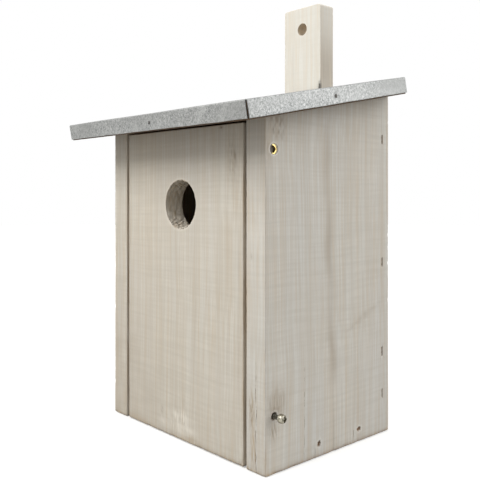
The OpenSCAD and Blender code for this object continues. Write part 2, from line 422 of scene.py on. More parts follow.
@dataclass
class Skin:
    """A welded surface: its points, their directions, their places before rounding, its faces."""

    points: Array
    normals: Array
    keys: Array
    faces: Array

    def polygons(self) -> list[list[int]]:
        """Faces with four corners, and triangles where two corners of a face are one point."""
        doubled = self.faces == np.roll(self.faces, -1, axis=1)
        whole = self.faces[~doubled.any(axis=1)]
        single = doubled.sum(axis=1) == 1
        start = np.argmax(doubled[single], axis=1)
        order = (start[:, None] + np.arange(1, 4)[None, :]) % 4
        triangles = np.take_along_axis(self.faces[single], order, axis=1)
        return whole.tolist() + triangles.tolist()

    def to_object(self, name: str, attributes: dict[str, Array], crease: float) -> Piece:
        """Puts the surface into a mesh object at the origin.

        Args:
            name: Name of the piece.
            attributes: Values at the points that the finishes read.
            crease: Angle in degrees above which an edge is sharp.

        Returns:
            The new object, linked to the scene.
        """
        mesh = bpy.data.meshes.new(name)
        mesh.from_pydata(self.points.tolist(), [], self.polygons())
        mesh.polygons.foreach_set("use_smooth", np.ones(len(mesh.polygons), bool))
        mesh.update()
        mesh.set_sharp_from_angle(angle=math.radians(crease))
        for label, values in attributes.items():
            layer = mesh.attributes.new(label, "FLOAT", "POINT")
            layer.data.foreach_set("value", np.ascontiguousarray(values, dtype=np.float32))
        made = bpy.data.objects.new(name, mesh)
        bpy.context.scene.collection.objects.link(made)
        return made


def settle(piece: Piece, body: Body, slot: Slot, node: str, material: Material) -> Piece:
    """Dresses a piece, seats it on its body and lets it stand for a node.

    Args:
        piece: The finished object.
        body: Body that it rides on.
        slot: The record's material slot.
        node: Node that it stands for.
        material: Its finish.

    Returns:
        The same object.
    """
    piece.data.materials.append(material)
    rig.ride(piece, body.value)
    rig.replaces(piece, node)
    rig.slot(piece, slot.value)
    LOG.info("%s: %d points, %d faces", piece.name, len(piece.data.vertices), len(piece.data.polygons))
    return piece


# Finishes

class Graph:
    """A node tree, with short calls for the nodes that the finishes and the studio need."""

    def __init__(self, owner: Material | bpy.types.World) -> None:
        """Takes over the node tree of a material or a world."""
        owner.use_nodes = True
        self.tree = owner.node_tree

    def put(self, target: Socket, value: object) -> None:
        """Links a socket to the target, or writes a constant into it."""
        if isinstance(value, Socket):
            self.tree.links.new(value, target)
        else:
            target.default_value = value

    def node(self, kind: str, inputs: dict[int | str, object], **settings: object) -> bpy.types.Node:
        """Adds a node, makes its settings and fills its inputs.

        Args:
            kind: The node's type without its first word.
            inputs: Sockets or constants by the name or number of the input.
            **settings: Properties of the node.

        Returns:
            The node.
        """
        made = self.tree.nodes.new("ShaderNode" + kind)
        for label, value in settings.items():
            setattr(made, label, value)
        for label, value in inputs.items():
            self.put(made.inputs[label], value)
        return made

    def spread(self, value: Socket, low: float, high: float, start: float, end: float) -> Socket:
        """A value between low and high, taken to start and end and held there."""
        ends = {"Value": value, "From Min": low, "From Max": high, "To Min": start, "To Max": end}
        return self.node("MapRange", ends).outputs["Result"]

    def joined(self, operation: str, first: object, second: object) -> Socket:
        """Two values joined by an operation of the math node, held between 0 and 1."""
        return self.node("Math", {0: first, 1: second}, operation=operation, use_clamp=True).outputs[0]

    def times(self, first: object, second: object) -> Socket:
        """One value times another."""
        return self.joined("MULTIPLY", first, second)

    def blend(self, share: object, first: object, second: object) -> Socket:
        """A colour that goes from the first to the second by a share."""
        return self.node("Mix", {0: share, 6: first, 7: second}, data_type="RGBA").outputs[2]

    def seen(self) -> Socket:
        """1 for rays from the camera, from gloss and through glass, 0 for the rest."""
        path = self.node("LightPath", {}).outputs
        gloss = self.joined("MAXIMUM", path["Is Camera Ray"], path["Is Glossy Ray"])
        return self.joined("MAXIMUM", gloss, path["Is Transmission Ray"])


class FinishGraph(Graph):
    """The node tree of a new material with a single shader."""

    def __init__(self, name: str) -> None:
        """Makes the material and finds its shader and its places."""
        self.material = bpy.data.materials.new(name)
        super().__init__(self.material)
        self.shader = self.tree.nodes["Principled BSDF"]
        self.place = self.node("TexCoord", {}).outputs["Object"]

    def warp(self, scale: float, amount: float) -> None:
        """Bends every later pattern: places move by noise of a scale, times an amount."""
        noise = self.node("TexNoise", {"Vector": self.place, "Scale": scale, "Detail": 2.0})
        centred = {0: noise.outputs["Color"], 1: (0.5, 0.5, 0.5)}
        middle = self.node("VectorMath", centred, operation="SUBTRACT").outputs[0]
        moved = {0: middle, 1: (amount, amount, amount), 2: self.place}
        self.place = self.node("VectorMath", moved, operation="MULTIPLY_ADD").outputs[0]

    def mapped(self, scale: Place, shift: float) -> Socket:
        """Object coordinates times a scale, moved by a seeded shift."""
        where = (shift, shift * 1.7, shift * 0.6)
        inputs = {"Vector": self.place, "Scale": scale, "Location": where}
        return self.node("Mapping", inputs).outputs["Vector"]

    def noise(self, vector: Socket, scale: float, detail: float, twist: float = 0.0) -> Socket:
        """Fractal noise from 0 to 1 at a place."""
        inputs = {"Vector": vector, "Scale": scale, "Detail": detail, "Distortion": twist}
        return self.node("TexNoise", inputs).outputs["Fac"]

    def cells(self, vector: Socket, scale: float) -> Socket:
        """Colour of the cell that a place is in, each cell with its own."""
        return self.node("TexVoronoi", {"Vector": vector, "Scale": scale}).outputs["Color"]

    def attribute(self, label: str) -> Socket:
        """A value that the piece's points carry."""
        return self.node("Attribute", {}, attribute_name=label).outputs["Fac"]

    def height(self) -> Socket:
        """Height of a place over the base."""
        return self.node("SeparateXYZ", {"Vector": self.place}).outputs["Z"]

    def bump(self, height: Socket, strength: float, distance: float) -> None:
        """Roughens the shader's normal by a height."""
        made = self.node("Bump", {"Strength": strength, "Distance": distance, "Height": height})
        self.put(self.shader.inputs["Normal"], made.outputs["Normal"])

    def coat(self, colour: object, roughness: object, metallic: float) -> Material:
        """Sets the shader's colour, roughness and metal share, and gives the material."""
        for label, value in (("Base Color", colour), ("Roughness", roughness), ("Metallic", metallic)):
            self.put(self.shader.inputs[label], value)
        return self.material


@dataclass(frozen=True)
class WashedWood:
    """Board under a thin white wash: grain streaks, thin edges, stains and bare torn spots, with some painted light
    and shade.
    """

    shift: float
    grain: int = 2
    cover: float = 1.0
    light: Colour = (0.735, 0.695, 0.620, 1.0)
    dark: Colour = (0.590, 0.555, 0.490, 1.0)
    warm: Colour = (0.655, 0.605, 0.522, 1.0)
    cool: Colour = (0.625, 0.605, 0.575, 1.0)
    raw_light: Colour = (0.490, 0.375, 0.240, 1.0)
    raw_dark: Colour = (0.280, 0.195, 0.110, 1.0)
    # The stain and torn colours also paint shade on some marks, and the chalk colour paints light.
    stain: Colour = (0.285, 0.215, 0.145, 1.0)
    torn: Colour = (0.190, 0.105, 0.050, 1.0)
    chalk: Colour = (0.780, 0.760, 0.710, 1.0)
    gloss: float = 0.25

    def drawn(
        self, graph: FinishGraph, thick: float, along: float, shift: float, detail: float, twist: float = 0.0
    ) -> Socket:
        """Noise that is drawn out along the grain.

        Args:
            graph: The finish's node tree.
            thick: Scale across the grain.
            along: Scale along the grain.
            shift: Shift of the pattern on top of the board's own.
            detail: Octaves of the noise.
            twist: Distortion of the noise.

        Returns:
            Values from 0 to 1.
        """
        scale = [thick, thick, thick]
        scale[self.grain] = along
        return graph.noise(graph.mapped(tuple(scale), self.shift + shift), 1.0, detail, twist)

    def material(self, name: str) -> Material:
        """Builds the finish.

        The wash is three shades blended by broad and by cloudy noise, with saw marks and pores.
        Fine streaks along the grain thin it, and so do the edges and the inner faces, and show
        the raw wood below. Stains, chalk and torn wood lie over it where the attributes say; on
        some marks the chalk is painted light and the stain and torn colours are painted shade.

        Args:
            name: Name of the material.

        Returns:
            The material.
        """
        graph = FinishGraph(name)
        graph.warp(7.0, 9.0 * MM)
        broad = self.drawn(graph, 150.0, 2.6, 0.0, 4.0, 0.3)
        fine = self.drawn(graph, 760.0, 9.0, 3.0, 4.0, 0.2)
        pores = self.drawn(graph, 1900.0, 60.0, 5.0, 2.0)
        cloud = self.drawn(graph, 24.0, 9.0, 9.0, 3.0)
        chill = self.drawn(graph, 30.0, 7.0, 14.0, 3.0)
        saw = self.drawn(graph, 28.0, 520.0, 2.0, 2.0)

        wash = graph.blend(graph.spread(broad, 0.28, 0.72, 0.10, 0.82), self.light, self.dark)
        for pattern, low, high, most, tone in (
            (cloud, 0.42, 0.72, 0.75, self.warm),
            (chill, 0.45, 0.75, 0.75, self.cool),
            (saw, 0.38, 0.70, 0.65, self.dark),
            (pores, 0.45, 0.65, 0.45, self.dark),
        ):
            wash = graph.blend(graph.spread(pattern, low, high, 0.0, most), wash, tone)
        raw = graph.blend(graph.spread(fine, 0.35, 0.65, 0.0, 1.0), self.raw_light, self.raw_dark)

        cover = graph.spread(fine, 0.30, 0.62, 0.60 * self.cover, 0.99 * self.cover)
        thin = graph.times(graph.attribute("inside"), graph.spread(fine, 0.3, 0.7, 0.75, 0.35))
        worn = graph.times(graph.attribute("edge"), graph.spread(pores, 0.40, 0.66, 0.0, 0.55))
        for less in (thin, worn):
            cover = graph.joined("SUBTRACT", cover, less)
        colour = graph.blend(cover, raw, wash)
        for label, pattern, low, high, least, tone in (
            ("stain", fine, 0.3, 0.7, 0.55, self.stain),
            ("chalk", pores, 0.35, 0.6, 0.3, self.chalk),
            ("bare", pores, 0.3, 0.6, 0.75, self.torn),
        ):
            share = graph.times(graph.attribute(label), graph.spread(pattern, low, high, least, 1.0))
            colour = graph.blend(share, colour, tone)

        height = graph.blend(0.22, graph.blend(0.45, fine, pores), saw)
        graph.bump(height, 0.45, 0.35 * MM)
        graph.put(graph.shader.inputs["Specular IOR Level"], self.gloss)
        return graph.coat(colour, graph.spread(broad, 0.3, 0.7, 0.68, 0.86), 0.0)


@dataclass(frozen=True)
class ZincSheet:
    """Galvanised sheet: dull spangle cells, a worm-like fleck and faint weather clouds."""

    pale: Colour = (0.436, 0.439, 0.428, 1.0)
    deep: Colour = (0.165, 0.172, 0.170, 1.0)
    dull: Colour = (0.253, 0.256, 0.248, 1.0)

    def material(self, name: str) -> Material:
        """Builds the finish.

        Each spangle cell has its own shade. A fine fleck is laid over it, and both roughen the
        gloss, so neighbouring cells shine differently.

        Args:
            name: Name of the material.

        Returns:
            The material.
        """
        graph = FinishGraph(name)
        plain = graph.mapped((1.0, 1.0, 1.0), 0.3)
        fleck = graph.noise(plain, 900.0, 3.0, 1.1)
        cell = graph.cells(plain, 330.0)
        cloud = graph.noise(plain, 24.0, 3.0)
        runs = graph.noise(graph.mapped((95.0, 7.0, 60.0), 4.0), 1.0, 3.0, 0.4)
        shade = graph.blend(graph.spread(fleck, 0.34, 0.66, 0.0, 1.0), self.deep, self.pale)
        shade = graph.blend(graph.times(cell, 0.45), shade, self.dull)
        shade = graph.blend(graph.spread(cloud, 0.48, 0.72, 0.0, 0.8), shade, self.dull)
        shade = graph.blend(graph.spread(runs, 0.52, 0.75, 0.0, 0.6), shade, self.pale)
        graph.bump(graph.blend(0.5, fleck, cell), 0.18, 0.2 * MM)
        return graph.coat(shade, graph.spread(fleck, 0.3, 0.7, 0.58, 0.38), 0.75)


@dataclass(frozen=True)
class Plating:
    """Plated or rusted metal of the fasteners, with dark dirt and painted shade where the attribute bare is set."""

    pale: Colour
    deep: Colour
    dirt_and_shade: Colour
    smooth: float
    rough: float
    metal: float
    painted_below: float = 0.0
    paint: Colour = (0.500, 0.450, 0.385, 1.0)

    def material(self, name: str, dirty: bool) -> Material:
        """Builds the finish: two shades by noise, dark dirt in the recesses and painted shade with dirt on shanks
        where the attribute says, and thin paint low down.

        Args:
            name: Name of the material.
            dirty: Whether the piece's points carry the attribute bare.

        Returns:
            The material.
        """
        graph = FinishGraph(name)
        fleck = graph.noise(graph.mapped((1.0, 1.0, 1.0), 0.7), 900.0, 4.0, 0.4)
        colour = graph.blend(graph.spread(fleck, 0.35, 0.65, 0.0, 1.0), self.pale, self.deep)
        if dirty:
            colour = graph.blend(graph.attribute("bare"), colour, self.dirt_and_shade)
        if self.painted_below > 0.0:
            clear = self.painted_below + 4.0 * MM
            painted = graph.spread(graph.height(), self.painted_below, clear, 0.85, 0.0)
            colour = graph.blend(painted, colour, self.paint)
        graph.bump(fleck, 0.25, 0.1 * MM)
        return graph.coat(colour, graph.spread(fleck, 0.3, 0.7, self.smooth, self.rough), self.metal)


YELLOW_ZINC = Plating(
    (0.80, 0.63, 0.25, 1.0), (0.60, 0.43, 0.15, 1.0), (0.062, 0.052, 0.040, 1.0), 0.24, 0.44, 1.0
)
BRIGHT_ZINC = Plating(
    (0.44, 0.42, 0.35, 1.0), (0.22, 0.20, 0.15, 1.0), (0.03, 0.026, 0.02, 1.0), 0.26, 0.48, 1.0
)
STAPLE = Plating(
    (0.30, 0.22, 0.14, 1.0), (0.13, 0.085, 0.05, 1.0), (0.03, 0.026, 0.02, 1.0), 0.45, 0.70, 0.5,
    painted_below=36.0 * MM,
)
# The cap nails are one kind: this darker copy is painted shade for the side nails.
NAIL_PAINTED_SHADE = Plating(
    (0.120, 0.112, 0.100, 1.0), (0.040, 0.036, 0.032, 1.0), (0.02, 0.02, 0.02, 1.0), 0.45, 0.65, 0.7
)
# This paler copy is painted light for the front nail.
NAIL_PAINTED_LIGHT = Plating(
    (0.300, 0.295, 0.285, 1.0), (0.040, 0.038, 0.035, 1.0), (0.02, 0.02, 0.02, 1.0), 0.30, 0.55, 0.8
)
RUST = Plating(
    (0.200, 0.105, 0.050, 1.0), (0.055, 0.035, 0.025, 1.0), (0.02, 0.015, 0.01, 1.0), 0.60, 0.85, 0.3
)


# Marks on the boards

Tints = dict[str, Array]
CloseLines = tuple[list[Fine], list[Fine]]


@dataclass(frozen=True)
class Mark:
    """Something at the place u, v of a face, given on the face's own two axes."""

    face: Face
    u: float
    v: float

    def apart(self, u: Array, v: Array) -> Array:
        """Distance from the mark's middle."""
        return np.hypot(u - self.u, v - self.v)

    def depth(self, u: Array, v: Array) -> Array:
        """How far the face goes in."""
        return np.zeros_like(u)

    def tints(self, u: Array, v: Array) -> Tints:
        """Values for the finish's attributes."""
        return {}

    def fines(self) -> CloseLines:
        """Close grid lines that the mark needs on each axis."""
        return [], []


@dataclass(frozen=True)
class Countersink(Mark):
    """Round seat of a screw head: a short wall, then a cone down to the shank."""

    radius: float = 3.6 * MM
    sink: float = 0.4 * MM

    def depth(self, u: Array, v: Array) -> Array:
        """A wall down past the head's rim, then one part in for each part towards the middle."""
        apart = self.apart(u, v)
        wall = (self.sink + 0.5 * MM) * soft_step((self.radius + 0.3 * MM - apart) / (0.45 * MM))
        return wall + np.clip(self.radius - apart, 0.0, 1.9 * MM)

    def tints(self, u: Array, v: Array) -> Tints:
        """Painted light in the seat, as chalk white that lifts its shade, white wash on the pressed ring round it, and
        a dark line between.
        """
        past = self.apart(u, v) - self.radius
        return {
            "stain": 0.25 * bell(past - 0.45 * MM, 0.3 * MM),
            "chalk": soft_step((1.6 * MM - past) / (1.2 * MM)),
        }

    def fines(self) -> CloseLines:
        """Close lines across the whole seat."""
        reach = self.radius + 1.8 * MM
        return [Fine(self.u, reach, 0.42 * MM)], [Fine(self.v, reach, 0.42 * MM)]


@dataclass(frozen=True)
class TornHole(Mark):
    """Ragged hole: its rim wanders with the angle, and its torn edge shows raw wood."""

    radius: float = 1.4 * MM
    deep: float = 0.85 * MM
    ragged: float = 0.42
    tilt: float = 0.0

    def inset(self, u: Array, v: Array) -> Array:
        """Distance inside the ragged rim, whose radius has waves of two, five and nine turns."""
        angle = np.arctan2(v - self.v, u - self.u) + self.tilt
        wave = 0.45 * np.sin(2.0 * angle) + 0.35 * np.sin(5.0 * angle + 1.3) + 0.3 * np.sin(9.0 * angle)
        return self.radius * (1.0 + self.ragged * wave) - self.apart(u, v)

    def depth(self, u: Array, v: Array) -> Array:
        """A soft step down to the hole's floor."""
        return self.deep * soft_step((self.inset(u, v) + 0.15 * MM) / (0.4 * MM))

    def tints(self, u: Array, v: Array) -> Tints:
        """Bare torn wood in the hole, a brown stain beside it and a whitish bruise round it."""
        inset = self.inset(u, v)
        front_darkening = np.hypot(u - self.u + 1.3 * MM, 0.8 * (v - self.v + 0.5 * MM))
        return {
            "bare": soft_step((inset + 0.30 * MM) / (0.45 * MM)),
            "stain": 0.8 * bell(front_darkening, 0.9 * MM),
            "chalk": 0.5 * bell(inset + 1.0 * MM, 0.6 * MM),
        }

    def fines(self) -> CloseLines:
        """Close lines across the hole and its rim."""
        reach = self.radius * (1.0 + self.ragged) + 1.0 * MM
        return [Fine(self.u, reach, 0.40 * MM)], [Fine(self.v, reach, 0.40 * MM)]


@dataclass(frozen=True)
class Slit(Mark):
    """Slit that a staple's crown has pressed, long on the second axis."""

    half_u: float = 0.62 * MM
    half_v: float = 2.95 * MM
    deep: float = 0.85 * MM
    dark: float = 0.7

    def inset(self, u: Array, v: Array) -> Array:
        """Distance inside the slit, whose long sides waver."""
        waver = 0.12 * MM * np.sin(2400.0 * v + 900.0 * self.v)
        return np.minimum(self.half_u + waver - np.abs(u - self.u), self.half_v - np.abs(v - self.v))

    def depth(self, u: Array, v: Array) -> Array:
        """A short soft step down to the crown."""
        return self.deep * soft_step((self.inset(u, v) + 0.15 * MM) / (0.35 * MM))

    def tints(self, u: Array, v: Array) -> Tints:
        """Bare wood in the slit and on its rim."""
        return {"bare": self.dark * soft_step((self.inset(u, v) + 0.20 * MM) / (0.35 * MM))}

    def fines(self) -> CloseLines:
        """Close lines across the slit."""
        along = Fine(self.v, self.half_v + 0.4 * MM, 0.80 * MM)
        return [Fine(self.u, self.half_u + 0.5 * MM, 0.22 * MM)], [along]


@dataclass(frozen=True)
class Split(Mark):
    """Crack along the grain from v to v_end: a groove that wavers and thins out towards v_end."""

    v_end: float
    width: float
    deep: float = 0.5 * MM
    waver: float = 0.35 * MM
    dark: float = 1.0

    def share(self, u: Array, v: Array) -> Array:
        """How far into the groove a place is: 1 on its wavering line, 0 at its sides."""
        places = v[..., None]
        seed = int(abs(1e4 * self.u))
        sway = ripple(places, 30.0 * MM, seed) + 0.4 * ripple(places, 6.0 * MM, seed + 1)
        along = np.clip((v - self.v) / (self.v_end - self.v), 0.0, 1.0)
        within = (v >= self.v - 1e-6) & (v <= self.v_end)
        broken = np.clip(0.75 + 0.8 * ripple(places, 9.0 * MM, seed + 2), 0.12, 1.0)
        half = 0.5 * self.width * np.sqrt(1.0 - along) * broken + 1e-7
        return np.where(within, np.clip(1.0 - np.abs(u - (self.u + self.waver * sway)) / half, 0.0, 1.0), 0.0)

    def depth(self, u: Array, v: Array) -> Array:
        """A groove with a sharp floor."""
        return self.deep * self.share(u, v)

    def tints(self, u: Array, v: Array) -> Tints:
        """Dark bare wood in the groove."""
        return {"bare": self.dark * soft_step(1.6 * self.share(u, v))}

    def fines(self) -> CloseLines:
        """Close lines across the groove."""
        return [Fine(self.u, 1.4 * self.waver + self.width, 0.21 * MM)], []


@dataclass(frozen=True)
class Streak(Mark):
    """Stained line along the grain from v to v_end, which leans over by lean."""

    v_end: float
    width: float
    strength: float
    lean: float
    tint: str

    def tints(self, u: Array, v: Array) -> Tints:
        """A bell across the line, faded at its ends and uneven along it."""
        along = (v - self.v) / (self.v_end - self.v)
        line = self.u + self.lean * along + 0.25 * self.width * np.sin(140.0 * v + 70.0 * self.u)
        fade = soft_step(along / 0.12) * soft_step((1.0 - along) / 0.25)
        uneven = 0.75 + 0.25 * np.sin(95.0 * v + 2.0)
        return {self.tint: self.strength * fade * uneven * bell(u - line, self.width)}

    def fines(self) -> CloseLines:
        """Close lines across a narrow streak."""
        reach = 0.5 * abs(self.lean) + 2.0 * self.width
        return [Fine(self.u + 0.5 * self.lean, reach, max(0.45 * MM, 0.65 * self.width))], []


@dataclass(frozen=True)
class Blotch(Mark):
    """Soft stained patch with a wavering rim, or of hairs along the grain."""

    half_u: float
    half_v: float
    strength: float
    seed: int
    hair: float
    lean: float
    tint: str

    def tints(self, u: Array, v: Array) -> Tints:
        """A bell over an ellipse, broken up by ripples or by hairs along the grain."""
        side = (u - self.u - self.lean * (v - self.v)) / self.half_u
        rise = (v - self.v) / self.half_v
        if self.hair > 0.0:
            places = np.stack([u, 0.14 * v], axis=-1)
            broken = np.clip(0.35 + 1.5 * ripple(places, self.hair, self.seed), 0.0, 1.4)
        else:
            places = np.stack([u, v], axis=-1)
            broken = 0.75 + 0.45 * ripple(places, 1.1 * self.half_u, self.seed)
        return {self.tint: np.clip(self.strength * broken * np.exp(-(side**2 + rise**2)), 0.0, 1.0)}

    def fines(self) -> CloseLines:
        """Close lines where the patch is small."""
        step = 0.65 * self.hair if self.hair > 0.0 else max(0.60 * MM, 0.32 * self.half_u)
        rise = max(0.70 * MM, 0.34 * self.half_v)
        return [Fine(self.u, 1.5 * self.half_u, step)], [Fine(self.v, 1.5 * self.half_v, rise)]


def blotches(face: Face, tint: str, rows: Rows, start: float = 0.0) -> list[Mark]:
    """Blotches of one tint from rows of millimetres.

    Args:
        face: Face that they lie on.
        tint: Attribute that they raise.
        rows: u, v, half_u, half_v, strength, seed, and where needed hair and lean.
        start: Place that the rows count u from.

    Returns:
        The blotches.
    """
    made: list[Mark] = []
    for u, v, half_u, half_v, strength, seed, *more in rows:
        hair, lean = (*more, 0.0, 0.0)[:2]
        sizes = (half_u * MM, half_v * MM, strength, seed, hair * MM, lean)
        made.append(Blotch(face, start + u * MM, v * MM, *sizes, tint))
    return made


def streaks(face: Face, rows: Rows, tint: str = "stain") -> list[Mark]:
    """Streaks of one tint from rows of millimetres.

    Args:
        face: Face that they lie on.
        rows: u, v, v_end, width, strength, and where needed the lean.
        tint: Attribute that they raise.

    Returns:
        The streaks.
    """
    made: list[Mark] = []
    for u, v, v_end, width, strength, *lean in rows:
        leaned = MM * (lean[0] if lean else 0.0)
        made.append(Streak(face, u * MM, v * MM, v_end * MM, width * MM, strength, leaned, tint))
    return made


def gap_wash_and_light(face: Face, strength: float) -> list[Mark]:
    """Pale wash a little way into a gap beside the front, whiter than the outer wash: partly wash that ran in, partly
    painted light that lifts the gap's shade.
    """
    return streaks(face, ((-56.0, -40.0, 270.0, 4.0, strength),), "chalk")


@dataclass(frozen=True)
class RoundHole:
    """Hole through a board at a place on its broad face, with an eased rim and a rough bore."""

    u: float
    v: float
    radius: float
    reach: float
    rim: float = 0.35 * MM
    tear: float = 0.0
    raw: float = 0.44
    # pale is how strongly light is painted on the lower half of the bore.
    pale: float = 0.85


# Boards

@dataclass(frozen=True)
class SlopedTop:
    """Slope of the walls' tops: heights grow from the front edge towards the back."""

    front_y: float
    front_height: float
    pitch: float

    def stretch(self, y: Array | float) -> Array | float:
        """Height at the place y as a share of the height at the front."""
        return 1.0 + (y - self.front_y) * math.tan(self.pitch) / self.front_height


@dataclass(frozen=True)
class RoofTurn:
    """The roof's own frame: the second axis runs up the slope, the third stands off the board."""

    origin: Place
    pitch: float

    def place(self, points: Array) -> Array:
        """Turns points of the roof's frame about X by the pitch and moves them to the roof."""
        return self.way(points) + np.array(self.origin)

    def way(self, ways: Array) -> Array:
        """Turns directions of the roof's frame about X by the pitch."""
        cosine, sine = math.cos(self.pitch), math.sin(self.pitch)
        turn = np.array([[1.0, 0.0, 0.0], [0.0, cosine, -sine], [0.0, sine, cosine]])
        return ways @ turn.T


@dataclass
class Board:
    """A sawn board with eased edges, marks on its faces and holes through it."""

    node: str
    finish: WashedWood
    thin: int
    low: Array
    high: Array
    inside: tuple[Face, ...]
    seed: int
    marks: list[Mark] = field(default_factory=list)
    holes: list[RoundHole] = field(default_factory=list)
    slope: SlopedTop | None = None
    turn: RoofTurn | None = None
    body: Body = Body.BOX
    slot: Slot = Slot.WASHED
    step: float = 2.4 * MM
    round_r: float = 0.6 * MM
    top_round: float = 0.0
    edge_wear: float = 0.8 * MM
    chip_reach: float = 0.9 * MM
    scuff_h: float = 1.6 * MM
    foot_h: float = 0.75 * MM

    def lines(self) -> list[Array]:
        """Grid lines of the three axes, close where a mark needs them.

        Returns:
            One array of places for each axis.
        """
        fines: list[list[Fine]] = [[], [], []]
        exact: list[list[float]] = [[], [], []]
        for mark in self.marks:
            for axis, found in zip(across(mark.face.axis), mark.fines()):
                fines[axis] += [self.unsloped(fine, mark) if axis == 2 else fine for fine in found]
        for hole in self.holes:
            for axis, place in zip(across(self.thin), (hole.u, hole.v)):
                exact[axis] += [place - hole.reach, place + hole.reach]
                fines[axis].append(Fine(place, hole.reach, hole.radius / 9.0))
        return [
            grid_lines(self.low[axis], self.high[axis], self.step, self.round_r, fines[axis], exact[axis])
            for axis in range(3)
        ]

    def unsloped(self, fine: Fine, mark: Mark) -> Fine:
        """A stretch of heights as it is before the board is drawn up to its slope."""
        if self.slope is None:
            return fine
        y = mark.u if mark.face.axis == 0 else 0.5 * (self.low[1] + self.high[1])
        share = float(self.slope.stretch(y))
        return Fine(fine.middle / share, fine.reach / share, fine.step / share)

    def rounded(self, keys: Array) -> tuple[Array, Array]:
        """Rounds the edges: each point goes onto a ball that rolls inside the box's edges.

        Args:
            keys: Places on the sharp box.

        Returns:
            The places on the eased box and the directions outwards.
        """
        core = np.clip(keys, self.low + self.round_r, self.high - self.round_r)
        ways = keys - core
        ways /= np.linalg.norm(ways, axis=-1, keepdims=True)
        return core + self.round_r * ways, ways

    def shell(self) -> Skin:
        """The board's six faces, its hole patches and its bores, welded.

        Returns:
            The surface.
        """
        lines = self.lines()
        shell = Shell()
        for axis in range(3):
            flat = np.meshgrid(lines[(axis + 1) % 3], lines[(axis + 2) % 3], indexing="ij")
            for end in (0, -1):
                keys = stood(np.stack(flat, axis=-1), lines[axis][end], axis)
                keep = self.outside_holes(keys) if axis == self.thin else None
                points, ways = self.rounded(keys)
                shell.add(points, ways, keys, flip=end == 0, keep=keep)
        for hole in self.holes:
            self.add_hole(shell, lines, hole)
        return shell.weld()

    def hole_gap(self, hole: RoundHole, points: Array) -> Array:
        """Distance of each point from a hole's axis."""
        first, second = across(self.thin)
        return np.hypot(points[:, first] - hole.u, points[:, second] - hole.v)

    def outside_holes(self, keys: Array) -> Array:
        """Which faces of a broad side's grid lie outside the squares of the holes."""
        middle = 0.25 * (keys[:-1, :-1] + keys[1:, :-1] + keys[1:, 1:] + keys[:-1, 1:])
        first, second = across(self.thin)
        keep = np.ones(middle.shape[:2], bool)
        for hole in self.holes:
            aside = np.abs(middle[..., first] - hole.u)
            above = np.abs(middle[..., second] - hole.v)
            keep &= np.maximum(aside, above) > hole.reach
        return keep

    def add_hole(self, shell: Shell, lines: list[Array], hole: RoundHole) -> None:
        """Adds the patches between a square and its hole on both faces, and the bore.

        The patch goes in shares from each point of the square's border to the point of the rim
        in the same direction. The bore's rims are quarter rounds.

        Args:
            shell: Shell that takes the grids.
            lines: Grid lines of the board.
            hole: The hole.
        """
        axes = ((self.thin + 1) % 3, (self.thin + 2) % 3)
        centre = dict(zip(across(self.thin), (hole.u, hole.v)))
        middle = np.array([centre[axis] for axis in axes])
        one, two = [
            lines[axis][np.abs(lines[axis] - place) <= hole.reach + 1e-7] for axis, place in zip(axes, middle)
        ]
        sides = ((one[:-1], two[0]), (one[-1], two[:-1]), (one[:0:-1], two[-1]), (one[0], two[:0:-1]))
        border = np.concatenate([np.stack(np.broadcast_arrays(*side), axis=1) for side in sides])
        ways = border - middle
        ways = ways / np.linalg.norm(ways, axis=1, keepdims=True)
        rim = middle + (hole.radius + hole.rim) * ways
        patch = rim + (border - rim) * np.linspace(0.0, 1.0, PATCH_ROWS)[:, None, None] ** PATCH_BIAS
        patch[-1] = border
        low, high = lines[self.thin][0], lines[self.thin][-1]
        for level, out in ((low, -1.0), (high, 1.0)):
            normals = stood(np.zeros_like(patch), out, self.thin)
            shell.add(stood(patch, level, self.thin), normals, wrap=True, flip=out < 0.0)
        turn = np.linspace(0.0, QUARTER_TURN, RIM_ROWS)
        inner = np.linspace(low + hole.rim, high - hole.rim, BORE_ROWS)[1:-1]
        sunk = hole.rim * (1.0 - np.cos(turn))
        wider = hole.rim * (1.0 - np.sin(turn))
        levels = np.concatenate([low + sunk, inner, high - sunk[::-1]])
        widths = np.concatenate([wider, np.zeros(len(inner)), wider[::-1]])
        ring = middle + (hole.radius + widths)[:, None, None] * ways
        ring[0] = rim
        ring[-1] = rim
        normals = stood(np.broadcast_to(-ways, ring.shape), 0.0, self.thin)
        shell.add(stood(ring, levels[:, None], self.thin), normals, wrap=True)

    def edge_gap(self, keys: Array) -> Array:
        """Distance of each point from the nearest edge of the sharp box."""
        apart = np.minimum(np.abs(keys - self.low), np.abs(self.high - keys))
        return np.sort(apart, axis=1)[:, 1]

